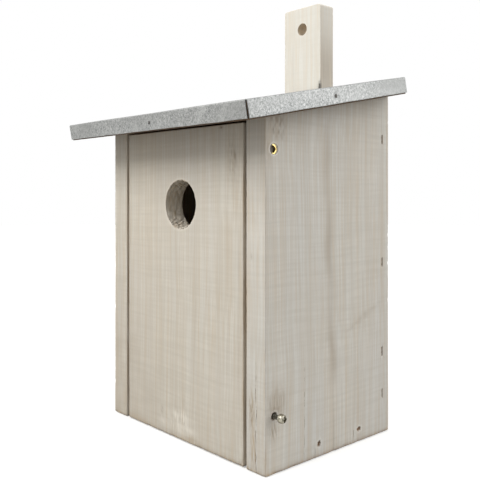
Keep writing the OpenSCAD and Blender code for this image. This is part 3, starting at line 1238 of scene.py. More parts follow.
    def build(self) -> Piece:
        """Makes the piece: shell, slope, marks, wear and roof turn, in that order.

        Returns:
            The finished piece.
        """
        skin = self.shell()
        points, normals = skin.points, skin.normals
        bore = self.in_bore(skin.keys)
        if self.top_round > 0.0:
            self.round_top(points)
        if self.slope is not None:
            points[:, 2] *= self.slope.stretch(points[:, 1])
        attributes = self.attributes(points, normals, skin.keys, bore)
        sink = np.zeros(len(points))
        for mark in self.marks:
            weight = self.facing(mark.face, normals, bore)
            u, v = [points[:, axis] for axis in across(mark.face.axis)]
            sink = np.maximum(sink, weight * mark.depth(u, v))
            for label, values in mark.tints(u, v).items():
                attributes[label] = np.maximum(attributes[label], weight * values)
        near = np.exp(-self.edge_gap(skin.keys) / self.chip_reach) * ~bore
        chips = np.clip(ripple(points, 4.5 * MM, self.seed) - 0.55, 0.0, 1.0)
        wave = 0.06 * MM * ripple(points, 70.0 * MM, self.seed + 40) * ~bore
        wave = np.where(normals[:, 2] < -0.5, np.minimum(wave, 0.0), wave)
        splinter = np.clip(ripple(points, 7.0 * MM, self.seed + 3) - 0.1, 0.0, 1.0)
        splinter *= attributes["bare"] > 0.02
        move = wave - sink - MM * near * (0.5 * chips + 0.6 * splinter) + self.torn(points, normals, bore)
        points += normals * move[:, None]
        if self.turn is not None:
            skin.points = self.turn.place(points)
        piece = skin.to_object(self.node + "_boarded", attributes, BOARD_CREASE)
        return settle(piece, self.body, self.slot, self.node, self.finish.material(piece.name + "_finish"))

    def in_bore(self, keys: Array) -> Array:
        """Which points lie in a hole's bore."""
        found = np.zeros(len(keys), bool)
        for hole in self.holes:
            found |= self.hole_gap(hole, keys) < hole.radius + 0.9 * hole.rim
        return found

    def facing(self, face: Face, normals: Array, bore: Array) -> Array:
        """How fully each point belongs to a face: 1 on it, falling to 0 round its edges."""
        return soft_step((face.sign * normals[:, face.axis] - 0.5) / 0.4) * ~bore

    def attributes(self, points: Array, normals: Array, keys: Array, bore: Array) -> Tints:
        """Values that the finish reads before the marks add theirs.

        Edges wear unevenly. The foot is scuffed to raw wood in places, and has a dark line
        along it in others. A board that lies flat has no foot.

        Args:
            points: Places on the board.
            normals: Directions outwards.
            keys: Places on the sharp box.
            bore: Which points lie in a bore.

        Returns:
            Values by the name of the attribute.
        """
        inside = np.zeros(len(points))
        for face in self.inside:
            inside = np.maximum(inside, self.facing(face, normals, bore))
        for hole in self.holes:
            inside = np.where(bore, hole.raw, inside)
        uneven = 0.55 + 0.45 * ripple(points, 14.0 * MM, self.seed + 7)
        edge = np.exp(-self.edge_gap(keys) / self.edge_wear) * np.clip(uneven, 0.0, 1.0)
        edge = np.where(bore, 0.12, edge)
        above = np.abs(keys[:, 2] - self.low[2]) if self.thin != 2 else np.full(len(points), 1.0)
        ragged = ripple(points, 11.0 * MM, self.seed + 9)
        scuff = bell(above, self.scuff_h) * np.clip(0.60 + 0.8 * ragged, 0.0, 1.0)
        inside = np.maximum(inside, 0.9 * scuff * ~bore)
        foot = np.exp(-above / self.foot_h) * np.clip(0.72 - 0.8 * ragged, 0.0, 1.0)
        foot *= np.clip(1.0 + normals[:, 2], 0.0, 1.0)
        chalk = self.bore_painted_light(points, bore)
        return {"inside": inside, "edge": edge, "stain": np.zeros(len(points)), "bare": foot, "chalk": chalk}

    def bore_painted_light(self, points: Array, bore: Array) -> Array:
        """Painted light on the lower half of the bores, as pale fibres along the grain, and a pale rim."""
        amount = np.zeros(len(points))
        rise = points[:, across(self.thin)[1]]
        drawn = points * np.array([1.0, 1.0, 0.18])
        fibres = np.clip(0.60 + 1.1 * ripple(drawn, 2.6 * MM, self.seed + 95), 0.0, 1.0)
        for hole in self.holes:
            low = soft_step((hole.v + 0.4 * hole.radius - rise) / (0.7 * hole.radius))
            near = np.abs(rise - hole.v) < 2.0 * hole.radius
            rim = 0.7 * bell(self.hole_gap(hole, points) - hole.radius, 1.1 * MM)
            amount = np.maximum(amount, np.where(bore, hole.pale * low * fibres, rim) * near)
        return amount

    def torn(self, points: Array, normals: Array, bore: Array) -> Array:
        """Torn fibres in the bores: seeded roughness where the cut crosses the grain's ends."""
        amount = np.zeros(len(points))
        rng = np.random.default_rng(self.seed + 90)
        drawn = points * np.array([1.0, 1.0, 0.25])
        rough = 0.5 * rng.normal(size=len(points)) + ripple(drawn, 1.6 * MM, self.seed + 91)
        ends = 0.3 + np.abs(normals[:, 2])
        for hole in self.holes:
            here = bore & (self.hole_gap(hole, points) < 2.0 * hole.radius)
            amount += np.where(here, hole.tear * rough * ends, 0.0)
        return amount

    def round_top(self, points: Array) -> None:
        """Draws the two top corners in to a radius: heights over them go down to the arc."""
        aside = np.abs(points[:, 0] - 0.5 * (self.low[0] + self.high[0]))
        flat = 0.5 * (self.high[0] - self.low[0]) - self.top_round
        past = np.clip(aside - flat, 0.0, self.top_round)
        drop = self.top_round - np.sqrt(np.maximum(self.top_round**2 - past**2, 0.0))
        span = 4.0 * self.top_round
        points[:, 2] -= 0.8 * drop * soft_step((points[:, 2] - (self.high[2] - span)) / span)


def node_corners(node: str) -> tuple[Array, Array]:
    """Lowest and highest corner of a node as arrays."""
    low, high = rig.box(node)
    return np.array(low, float), np.array(high, float)


# The box

@dataclass
class Carcass:
    """The fixed boards: two side walls, back wall and floor."""

    slope: SlopedTop
    pivot_y: float
    pivot_z: float
    lock_z: float = 33.0 * MM
    nail_y: tuple[float, float] = (26.0 * MM, -12.5 * MM)
    nail_z: float = 8.0 * MM
    staple_y: float = 51.0 * MM
    staple_z: tuple[float, ...] = (26.0 * MM, 54.0 * MM, 113.69 * MM, 195.69 * MM)
    faint_below: float = 50.0 * MM

    def fasteners(self, face: Face) -> list[Mark]:
        """Seats of the screws, nails and staples that both side walls have."""
        marks: list[Mark] = [Countersink(face, self.pivot_y, self.pivot_z, 3.05 * MM, PIVOT_SINK)]
        for count, y in enumerate(self.nail_y):
            marks.append(TornHole(face, y, self.nail_z, tilt=0.7 + 1.9 * count))
        for z in self.staple_z:
            marks.append(Slit(face, self.staple_y, z, dark=0.7 if z > self.faint_below else 0.25))
        return marks

    def right_marks(self) -> list[Mark]:
        """Seats, cracks and stains of the right wall, with painted shade by the lock hole and painted light in the
        gap: lock and pivot, the side, its front edge.
        """
        side, edge = Face.RIGHT, Face.FRONT
        marks = self.fasteners(side)
        marks.append(TornHole(side, self.pivot_y, self.lock_z, 2.0 * MM, 3.2 * MM, 0.08))
        marks += blotches(side, "stain", (
            (1.5, 37.0, 5.0, 10.0, 0.30, 3), (2.5, 40.0, 6.5, 8.0, 1.35, 4, 0.7),
            (1.0, 36.5, 4.5, 2.6, 0.75, 11), (-0.5, 25.0, 3.0, 5.0, 0.95, 6, 0.9),
            (3.0, 199.0, 6.0, 7.0, 1.00, 34, 0.9), (-4.5, 186.0, 2.4, 9.0, 0.80, 36, 0.8),
        ), self.pivot_y)
        # A dark patch in front of the lock screw's hole: painted shade of the screw with dirt.
        marks += blotches(side, "bare", ((-1.3, 33.2, 1.6, 2.2, 1.0, 7),), self.pivot_y)
        marks += [
            Split(side, -25.6 * MM, 0.0, 58.0 * MM, 0.32 * MM, 0.3 * MM, dark=0.75),
            Split(side, -16.1 * MM, 0.0, 7.0 * MM, 0.5 * MM, waver=0.1 * MM),
            Split(side, 20.6 * MM, 0.0, 9.0 * MM, 0.45 * MM, waver=0.1 * MM),
            Split(edge, 71.2 * MM, 0.0, 66.0 * MM, 0.6 * MM, 0.6 * MM, 0.6 * MM),
        ]
        marks += streaks(side, (
            (0.8, -6.0, 58.0, 0.8, 0.60), (1.0, 30.0, 216.0, 3.4, 0.55, -8.0),
            (-17.0, 20.0, 150.0, 0.6, 0.16), (22.0, 10.0, 95.0, 0.7, 0.15),
        ))
        marks += blotches(side, "stain", ((30.0, 79.5, 4.0, 7.0, 0.40, 5, 0.0, 2.2),))
        marks += blotches(edge, "inside", (
            (67.6, 36.0, 2.6, 11.0, 1.5, 8, 1.2), (69.0, 12.0, 2.5, 9.0, 1.1, 10, 1.2),
        ))
        marks += blotches(edge, "stain", (
            (67.8, 33.0, 1.6, 8.0, 1.0, 20, 0.8), (67.5, 124.2, 0.9, 1.3, 0.8, 9),
        ))
        marks += blotches(edge, "chalk", ((71.0, 130.0, 30.0, 70.0, 0.30, 14),))
        return marks + gap_wash_and_light(Face.LEFT, 0.7)

    def left_marks(self) -> list[Mark]:
        """Seats and stains of the left wall, and painted light in the gap."""
        side, edge = Face.LEFT, Face.FRONT
        marks = self.fasteners(side)
        marks.append(Split(side, 11.0 * MM, 0.0, 34.0 * MM, 0.35 * MM, 0.3 * MM, dark=0.8))
        marks += streaks(side, ((-20.0, 40.0, 208.0, 2.2, 0.2, 5.0), (30.0, -4.0, 120.0, 0.6, 0.3)))
        marks += blotches(side, "stain", ((-28.0, 66.0, 5.0, 8.0, 0.3, 12),))
        marks += streaks(edge, ((-75.5, 20.0, 190.0, 0.8, 0.25),))
        marks += blotches(edge, "stain", ((-71.0, 30.0, 20.0, 70.0, 0.26, 13),))
        return marks + gap_wash_and_light(Face.RIGHT, 0.7)

    def back_marks(self) -> list[Mark]:
        """Stains of the back wall, outside and inside."""
        back, inner = Face.BACK, Face.FRONT
        marks = streaks(back, ((40.0, 5.0, 200.0, 2.0, 0.2),))
        marks += blotches(back, "stain", ((-41.0, 140.0, 4.0, 7.0, 0.5, 15),))
        marks += streaks(inner, ((-25.0, 18.0, 210.0, 2.0, 0.3),))
        return marks + blotches(inner, "stain", ((22.0, 120.0, 4.0, 6.0, 0.6, 16),))

    def upright(
        self, node: str, finish: WashedWood, thin: int, inside: tuple[Face, ...], marks: list[Mark]
    ) -> Piece:
        """Builds a board whose top is drawn up to the roof's slope.

        Args:
            node: Node that the board stands for.
            finish: Its finish, whose shift gives its seed too.
            thin: Axis of its thickness.
            inside: Faces with less wash.
            marks: Its marks.

        Returns:
            The board.
        """
        low, high = node_corners(node)
        high[2] = self.slope.front_height
        seed = int(10 * finish.shift)
        return Board(node, finish, thin, low, high, inside, seed, marks, slope=self.slope).build()

    def build(self) -> list[Piece]:
        """Builds the walls, the back and the floor."""
        paler = WashedWood(
            1.1, light=(0.725, 0.700, 0.645, 1.0), dark=(0.580, 0.557, 0.510, 1.0),
            warm=(0.648, 0.604, 0.540, 1.0), cool=(0.618, 0.612, 0.590, 1.0),
        )
        ends = (Face.TOP, Face.UNDER)
        stain = blotches(Face.TOP, "stain", ((20.0, 5.0, 16.0, 12.0, 0.3, 18),))
        floor = Board(
            "floor_panel", WashedWood(5.1, grain=0), 2, *node_corners("floor_panel"),
            all_but(Face.UNDER), 51, stain,
        )
        return [
            self.upright("right_wall", paler, 0, (Face.LEFT, *ends), self.right_marks()),
            self.upright("left_wall", WashedWood(2.3), 0, (Face.RIGHT, *ends), self.left_marks()),
            self.upright("back_wall", WashedWood(3.7), 1, all_but(Face.BACK), self.back_marks()),
            floor.build(),
        ]


@dataclass
class SwingingFront:
    """The front panel with its entrance hole, which turns on the pivot screws."""

    hole_z: float
    hole_radius: float = ENTRANCE_RADIUS

    def marks(self) -> list[Mark]:
        """Stains, painted shade over the left, worn foot, chalk patch, pale wash and painted light in the gaps, and
        streaks of the panel.
        """
        face = Face.FRONT
        marks = blotches(face, "stain", (
            (53.0, 181.0, 1.5, 6.0, 0.90, 21), (51.0, 177.0, 5.0, 15.0, 0.26, 22),
            (51.0, 180.0, 4.0, 14.0, 0.55, 28, 1.1), (-20.0, 15.0, 1.8, 3.4, 0.45, 23),
            (-15.0, 13.0, 1.4, 3.0, 0.30, 27), (3.0, 25.0, 1.8, 5.0, 0.30, 24),
            # The broad blotch at -48, 25 (seed 35) is painted shade: it darkens the left of the panel as light falling
            # off would.
            (-6.0, 20.0, 12.0, 7.0, 0.16, 30), (-48.0, 25.0, 40.0, 85.0, 0.19, 35),
        ))
        marks += blotches(face, "chalk", (
            (1.0, 12.0, 9.0, 6.0, 1.8, 25, 1.6), (3.0, 9.0, 10.0, 2.4, 1.4, 31, 0.0, -1.6),
            (-19.0, 8.5, 4.0, 3.0, 0.7, 32),
        ))
        marks += blotches(face, "inside", ((12.0, 2.2, 7.0, 2.6, 0.9, 29), (-48.0, 1.0, 16.0, 3.2, 0.8, 33)))
        marks += blotches(face, "bare", ((40.8, 199.6, 1.2, 0.8, 1.0, 26),))
        marks += gap_wash_and_light(Face.RIGHT, 0.8) + gap_wash_and_light(Face.LEFT, 0.8)
        return marks + streaks(face, (
            (-59.3, 2.0, 199.0, 1.2, 0.26), (47.0, 20.0, 196.0, 1.2, 0.16), (-36.0, 4.0, 170.0, 1.6, 0.14),
            (16.0, 8.0, 120.0, 0.9, 0.16), (56.5, 4.0, 150.0, 0.6, 0.22),
        ))

    def build(self) -> Piece:
        """Builds the panel."""
        # The warmer chalk colour also paints light on the lower half of the entrance bore.
        finish = WashedWood(6.4, chalk=(0.800, 0.753, 0.672, 1.0))
        hole = RoundHole(0.0, self.hole_z, self.hole_radius, 21.0 * MM, tear=0.30 * MM)
        board = Board(
            "front_panel", finish, 1, *node_corners("front_panel"), all_but(Face.FRONT), 64,
            self.marks(), [hole], body=Body.FRONT,
        )
        return board.build()


@dataclass
class HangingBatten:
    """The batten behind the back wall, with the hanging hole over the roof."""

    hole_z: float
    hole_radius: float
    screw_z: tuple[float, float]
    corner_r: float = 2.5 * MM

    def marks(self) -> list[Mark]:
        """Streaks, stains and screw seats of the batten, painted shade on its two sides, and a near-black mark where
        it meets the roof, which is the painted shadow of the gap between batten and cap.
        """
        # Painted shade: broad, strong stains over the left and right faces keep them darker than the front.
        broad = (65.0, 200.0, 60.0, 260.0, 0.66)
        marks = streaks(Face.FRONT, ((-9.0, 120.0, 300.0, 1.2, 0.12),))
        # Painted shadow of the gap at the cap: near-black patches on the front and right face.
        marks += blotches(Face.FRONT, "bare", ((17.7, 238.8, 1.2, 3.4, 2.4, 71),))
        marks += blotches(Face.RIGHT, "bare", ((58.4, 238.8, 0.7, 3.4, 1.6, 71),))
        marks += blotches(Face.RIGHT, "stain", ((*broad, 72),))
        marks += blotches(Face.LEFT, "stain", ((*broad, 73),))
        marks += streaks(Face.BACK, ((8.0, 20.0, 280.0, 1.4, 0.22),))
        marks.append(Split(Face.BACK, -5.0 * MM, 15.0 * MM, 60.0 * MM, 0.4 * MM, 0.4 * MM))
        return marks + [Countersink(Face.BACK, 0.0, z, 4.1 * MM) for z in self.screw_z]

    def build(self) -> Piece:
        """Builds the batten."""
        finish = WashedWood(
            7.9, light=(0.790, 0.778, 0.726, 1.0), dark=(0.728, 0.711, 0.652, 1.0),
            warm=(0.76, 0.722, 0.657, 1.0), cool=(0.745, 0.741, 0.704, 1.0),
            raw_light=(0.680, 0.565, 0.410, 1.0), raw_dark=(0.420, 0.300, 0.170, 1.0),
            # This torn colour is near-black because it also paints the shadow of the gap at the cap.
            torn=(0.050, 0.045, 0.040, 1.0),
        )
        hole = RoundHole(0.0, self.hole_z, self.hole_radius, 8.0 * MM, 0.3 * MM, 0.08 * MM, 0.95, 0.3)
        board = Board(
            "hanging_batten", finish, 1, *node_corners("hanging_batten"), (Face.UNDER,), 79,
            self.marks(), [hole], top_round=self.corner_r,
        )
        return board.build()


# The roof

@dataclass
class Roof:
    """The raw roof board and its folded metal cap with open corners."""

    turn: RoofTurn
    half_width: float = 94.34 * MM
    front: float = -27.53 * MM
    back: float = 118.12 * MM
    top: float = 11.04 * MM
    skirt: float = 10.3 * MM
    bend: float = 1.0 * MM
    sheet: float = 0.7 * MM
    board_half: float = 93.5 * MM
    board_front: float = -26.69 * MM
    board_back: float = 117.28 * MM
    board_t: float = 10.2 * MM
    nail_n: float = 5.44 * MM
    nail_x: float = 5.0 * MM
    dimple: float = 0.60 * MM
    dimple_r: float = 2.3 * MM
    cap_step: float = 2.6 * MM
    fold_rows: int = 8
    skirt_rows: int = 19

    @property
    def side_nail_s(self) -> float:
        """Place along the slope of the nails in the side skirts."""
        return 0.5 * (self.board_front + self.board_back)

    @property
    def nail_sunk(self) -> float:
        """How far the nails' heads sit in from the skirts."""
        return 0.6 * self.dimple

    def build(self) -> list[Piece]:
        """Builds the board and the cap."""
        return [self.build_board(), self.build_cap()]

    def build_board(self) -> Piece:
        """Builds the roof board, raw all round, with its grain across the box, its wood darkened as painted shade of
        the cap's skirt.
        """
        low = np.array([-self.board_half, self.board_front, 0.0])
        high = np.array([self.board_half, self.board_back, self.board_t])
        # Painted shade: these raw colours are far darker than raw wood, for the shade under the skirt.
        raw_light, raw_dark = (0.15, 0.092, 0.050, 1.0), (0.06, 0.036, 0.020, 1.0)
        finish = WashedWood(9.3, grain=0, cover=0.55, raw_light=raw_light, raw_dark=raw_dark)
        board = Board(
            "roof_board", finish, 2, low, high, all_but(), 93, turn=self.turn, slot=Slot.RAW, round_r=0.4 * MM
        )
        return board.build()

    def flap_profile(self) -> tuple[Array, Array]:
        """Profile of a fold and its skirt: a quarter round, then straight down.

        Returns:
            Distances outwards and downwards from the edge of the flat top.
        """
        turn = np.linspace(0.0, QUARTER_TURN, self.fold_rows)
        down = np.linspace(self.bend, self.skirt, self.skirt_rows)[1:]
        out = np.concatenate([self.bend * np.sin(turn), np.full(len(down), self.bend)])
        return out, np.concatenate([self.bend * (1.0 - np.cos(turn)), down])

    def cap_lines(self, low: float, high: float, nail: float) -> Array:
        """Grid lines of the flat top on one axis, close at a nail."""
        return grid_lines(low, high, self.cap_step, 0.5 * MM, [Fine(nail, 5.0 * MM, 0.4 * MM)], [])

    def build_cap(self) -> Piece:
        """Builds the cap: a flat top and four flaps, each the fold's profile along one edge.

        The corners stay open because each flap ends where the other fold starts. The skirts
        flare by a fraction of a millimetre and dip in round the nails. The sheet's thickness
        goes inwards.

        Returns:
            The cap.
        """
        flat_x = self.half_width - self.bend
        flat_front, flat_back = self.front + self.bend, self.back - self.bend
        xs = self.cap_lines(-flat_x, flat_x, self.nail_x)
        ss = self.cap_lines(flat_front, flat_back, self.side_nail_s)
        profile, down = self.flap_profile()
        out = profile[:, None]
        levels = self.top - down[:, None]
        shell = Shell()
        shell.add(self.grid(xs[:, None], ss[None, :], self.top))
        for x, s, flip in (
            (xs[None, :], flat_front - out, False), (xs[None, :], flat_back + out, True),
            (flat_x + out, ss[None, :], False), (-flat_x - out, ss[None, :], True),
        ):
            shell.add(self.grid(x, s, levels), flip=flip)
        skin = shell.weld()
        self.bend_sheet(skin.points, flat_x, flat_front, flat_back)
        skin.points = self.turn.place(skin.points)
        piece = skin.to_object("roof_cap_folded", {}, SHEET_CREASE)
        wall = piece.modifiers.new("sheet", "SOLIDIFY")
        wall.thickness = self.sheet
        wall.offset = -1.0
        wall.use_even_offset = True
        finish = ZincSheet().material("galvanised_sheet_finish")
        return settle(piece, Body.BOX, Slot.SHEET, "roof_cap", finish)

    @staticmethod
    def grid(x: Array, s: Array, n: Array | float) -> Array:
        """Grid of points of the roof's frame from three arrays that fit together."""
        return np.stack(np.broadcast_arrays(x, s, n), axis=-1).astype(float)

    def dip(self, aside: Array, n: Array) -> Array:
        """Depth of the dimple round a nail, a bell over the distance from it."""
        return self.dimple * np.exp(-((aside**2 + (n - self.nail_n) ** 2) / self.dimple_r**2))

    def bend_sheet(self, points: Array, flat_x: float, flat_front: float, flat_back: float) -> None:
        """Takes the stiffness out of the cap: a wavy top, flared skirts and dimples at the nails.

        Args:
            points: Points of the cap in the roof's frame, which are moved.
            flat_x: Half the width of the flat top.
            flat_front: Front end of the flat top.
            flat_back: Back end of the flat top.
        """
        x, s, n = points.T.copy()
        low = soft_step((self.top - n) / self.skirt)
        ahead = np.clip((flat_front - s) / self.bend, 0.0, 1.0)
        behind = np.clip((s - flat_back) / self.bend, 0.0, 1.0)
        aside = np.clip((np.abs(x) - flat_x) / self.bend, 0.0, 1.0) * np.sign(x)
        plan = np.stack([x, s], axis=-1)
        flare = 0.16 * MM * (1.0 + ripple(plan, 80.0 * MM, 5)) * low
        points[:, 0] += aside * (flare - self.dip(s - self.side_nail_s, n))
        points[:, 1] += behind * flare - ahead * (flare - self.dip(x - self.nail_x, n))
        middle = (1.0 - ahead) * (1.0 - behind) * (1.0 - np.abs(aside))
        points[:, 2] += middle * 0.12 * MM * ripple(plan, 90.0 * MM, 6)
        points[:, 2] += 0.10 * MM * ripple(plan, 30.0 * MM, 8) * low


# Fasteners

def aimed(points: Array, place: Array, way: Array, turn: float) -> Array:
    """Stands a shape that points up at a place so that it points along a way.

    Args:
        points: Points of the shape, its axis on Z.
        place: Where the shape's origin goes.
        way: Direction that its axis takes.
        turn: Turn of the shape about its own axis.

    Returns:
        The placed points.
    """
    way = way / np.linalg.norm(way)
    aside = np.cross(way, np.array([0.31, 0.22, 0.92]))
    aside /= np.linalg.norm(aside)
    over = np.cross(way, aside)
    first = math.cos(turn) * aside + math.sin(turn) * over
    second = np.cross(way, first)
    return place + points[..., :1] * first + points[..., 1:2] * second + points[..., 2:] * way


@dataclass
class Screw:
    """Cross-recess wood screw with a thread, turned about its axis."""

    node: str
    body: Body
    slot: Slot
    finish: Plating
    place: Array
    way: Array
    head: Head
    head_r: float
    shank_r: float
    length: float
    head_h: float = 0.0
    pitch: float = 1.5 * MM
    turn: float = 0.4
    core: float = 0.40
    front_darkening: float = 0.0
    grime: float = 1.0
    recess_h: float = 1.5 * MM
    point_h: float = 3.0 * MM
    thread_core: float = 0.72
    thread_h: float = 0.27
    thread_w: float = 0.28
    columns: int = 72
    face_rows: int = 26
    pitch_rows: int = 6

    def head_profile(self) -> tuple[Array, Array]:
        """Radii and heights from the middle of the head's face down to the shank.

        Returns:
            The radii, and the heights over the head's rim or face.
        """
        rise = np.linspace(0.0, 1.0, self.face_rows)
        if self.head is Head.ROUND:
            radii = self.head_r * np.sin(QUARTER_TURN * rise) ** 0.75
            heights = self.head_h * np.clip(np.cos(QUARTER_TURN * rise), 0.0, 1.0) ** 0.55
            under = np.linspace(0.97, self.shank_r / self.head_r, 5) * self.head_r
            return np.concatenate([radii, under]), np.concatenate([heights, np.full(5, -0.05 * MM)])
        face = self.head_r * 0.94 * rise
        rim = np.array([0.985, 1.0, 1.0, 0.985]) * self.head_r
        rim_h = np.array([-0.03, -0.10, -0.36, -0.42]) * MM
        cone = np.linspace(0.95 * self.head_r, self.shank_r, 6)
        cone_h = -0.42 * MM - (0.985 * self.head_r - cone)
        heights = np.concatenate([np.zeros(self.face_rows), rim_h, cone_h])
        return np.concatenate([face, rim, cone]), heights

    def recess(self, points: Array) -> Array:
        """Share of the cross recess at each point: two crossed arms with a round middle."""
        aside, above = np.abs(points[..., 0]), np.abs(points[..., 1])
        short, long = np.minimum(aside, above), np.maximum(aside, above)
        arm_w = 0.20 * self.head_r + 0.20 * MM * (1.0 - long / self.head_r)
        arm = soft_step((arm_w - short) / (0.14 * MM) + 0.5)
        arm *= soft_step((0.66 * self.head_r - long) / (0.25 * MM) + 0.5)
        core = soft_step((self.core * self.head_r - np.hypot(aside, above)) / (0.2 * MM) + 0.5)
        return np.maximum(arm, core)

    def build(self) -> Piece:
        """Builds the screw.

        Head and shank are one profile turned about the axis. The recess lowers the face. The
        thread is a ridge whose height goes up and down once a pitch and moves on by a pitch a
        turn, and it shrinks at the point.

        Returns:
            The finished piece.
        """
        radii, heights = self.head_profile()
        start = heights[-1]
        rows = int(self.pitch_rows * self.length / self.pitch)
        down = np.linspace(start, -self.length, rows)[1:]
        on_shank = np.repeat([0.0, 1.0], [len(radii), len(down)])
        radii = np.concatenate([radii, np.full(len(down), self.shank_r)])
        heights = np.concatenate([heights, down])
        angle = np.linspace(0.0, FULL_TURN, self.columns, endpoint=False)
        point_share = np.clip((heights + self.length) / self.point_h, 0.0, 1.0)
        phase = np.mod(heights[:, None] / self.pitch - angle[None, :] / FULL_TURN, 1.0)
        ridge = on_shank[:, None] * np.clip(1.0 - np.abs(phase - 0.5) / self.thread_w, 0.0, 1.0)
        core = np.where(on_shank > 0.0, radii * self.thread_core * point_share, radii)
        grown = core[:, None] + ridge * self.thread_h * self.shank_r * point_share[:, None]
        keys = turned(grown, heights)
        grid = keys.copy()
        on_face = (np.arange(len(radii)) < self.face_rows).astype(float)[:, None]
        bowl = 1.0 - 0.25 * np.hypot(grid[..., 0], grid[..., 1]) / self.head_r
        grid[..., 2] -= self.recess(grid) * on_face * (self.recess_h * bowl)
        shell = Shell()
        shell.add(grid, keys=keys, wrap=True)
        skin = shell.weld()
        dirt_and_shade = self.dirt_and_shade(skin.points, start)
        skin.points = aimed(skin.points, self.place, self.way, self.turn)
        ahead = (self.place[1] - skin.points[:, 1]) / self.head_r
        # The front half of the head is darkened by the share that the screw sets.
        dirt_and_shade = np.maximum(dirt_and_shade, self.front_darkening * soft_step(1.4 * ahead + 0.4))
        piece = skin.to_object(self.node + "_threaded", {"bare": dirt_and_shade}, SCREW_CREASE)
        finish = self.finish.material(piece.name + "_finish", True)
        return settle(piece, self.body, self.slot, self.node, finish)

    def dirt_and_shade(self, points: Array, start: float) -> Array:
        """Dirt in the recess, and painted shade with dirt along the shank, which starts at a height below the head."""
        bare = self.grime * self.recess(points) * (points[:, 2] > start - 0.4 * MM)
        hidden = (np.hypot(points[:, 0], points[:, 1]) < 0.75 * self.head_r).astype(float)
        return np.maximum(bare * hidden, 0.85 * (points[:, 2] < start - 0.05 * MM))


@dataclass
class Nails:
    """Hammered nails of one node: low domed heads with a dent, on plain shanks."""

    node: str
    finish: Plating
    places: list[Array]
    way: Array
    head_r: float
    shank_r: float
    length: float
    dome: float
    seed: int
    columns: int = 40
    face_rows: int = 14
    shank_rows: int = 8
    point_h: float = 3.0 * MM

    def build(self) -> Piece:
        """Builds all the nails of the node: a dome, a rim and a shank turned about each axis.

        Returns:
            The finished piece.
        """
        share = np.linspace(0.0, 1.0, self.face_rows)
        rim = [1.01 * self.head_r, 0.97 * self.head_r]
        shank = np.linspace(-0.75 * MM, self.point_h - self.length, self.shank_rows)
        radii = np.concatenate([self.head_r * share, rim, np.full(self.shank_rows, self.shank_r), [0.0]])
        dome = self.dome * (1.0 - share**2)
        heights = np.concatenate([dome, [-0.2 * MM, -0.55 * MM], shank, [-self.length]])
        angle = np.linspace(0.0, FULL_TURN, self.columns, endpoint=False)
        plain = turned(np.repeat(radii[:, None], self.columns, axis=1), heights)
        near = (heights > -0.6 * MM)[:, None]
        shell = Shell()
        for count, place in enumerate(self.places):
            bent = plain.copy()
            rough = ripple(plain[..., :2], 1.3 * MM, self.seed + count)
            bent[..., 2] += np.where(near, 0.10 * MM * rough, 0.0)
            bent[..., :2] *= np.where(near, 1.0 + 0.05 * np.sin(3.0 * angle + count), 1.0)[..., None]
            shell.add(aimed(bent, place, self.way, 0.0), wrap=True)
        piece = shell.weld().to_object(self.node + "_hammered", {}, NAIL_CREASE)
        finish = self.finish.material(piece.name + "_finish", False)
        return settle(piece, Body.BOX, Slot.RUSTY, self.node, finish)


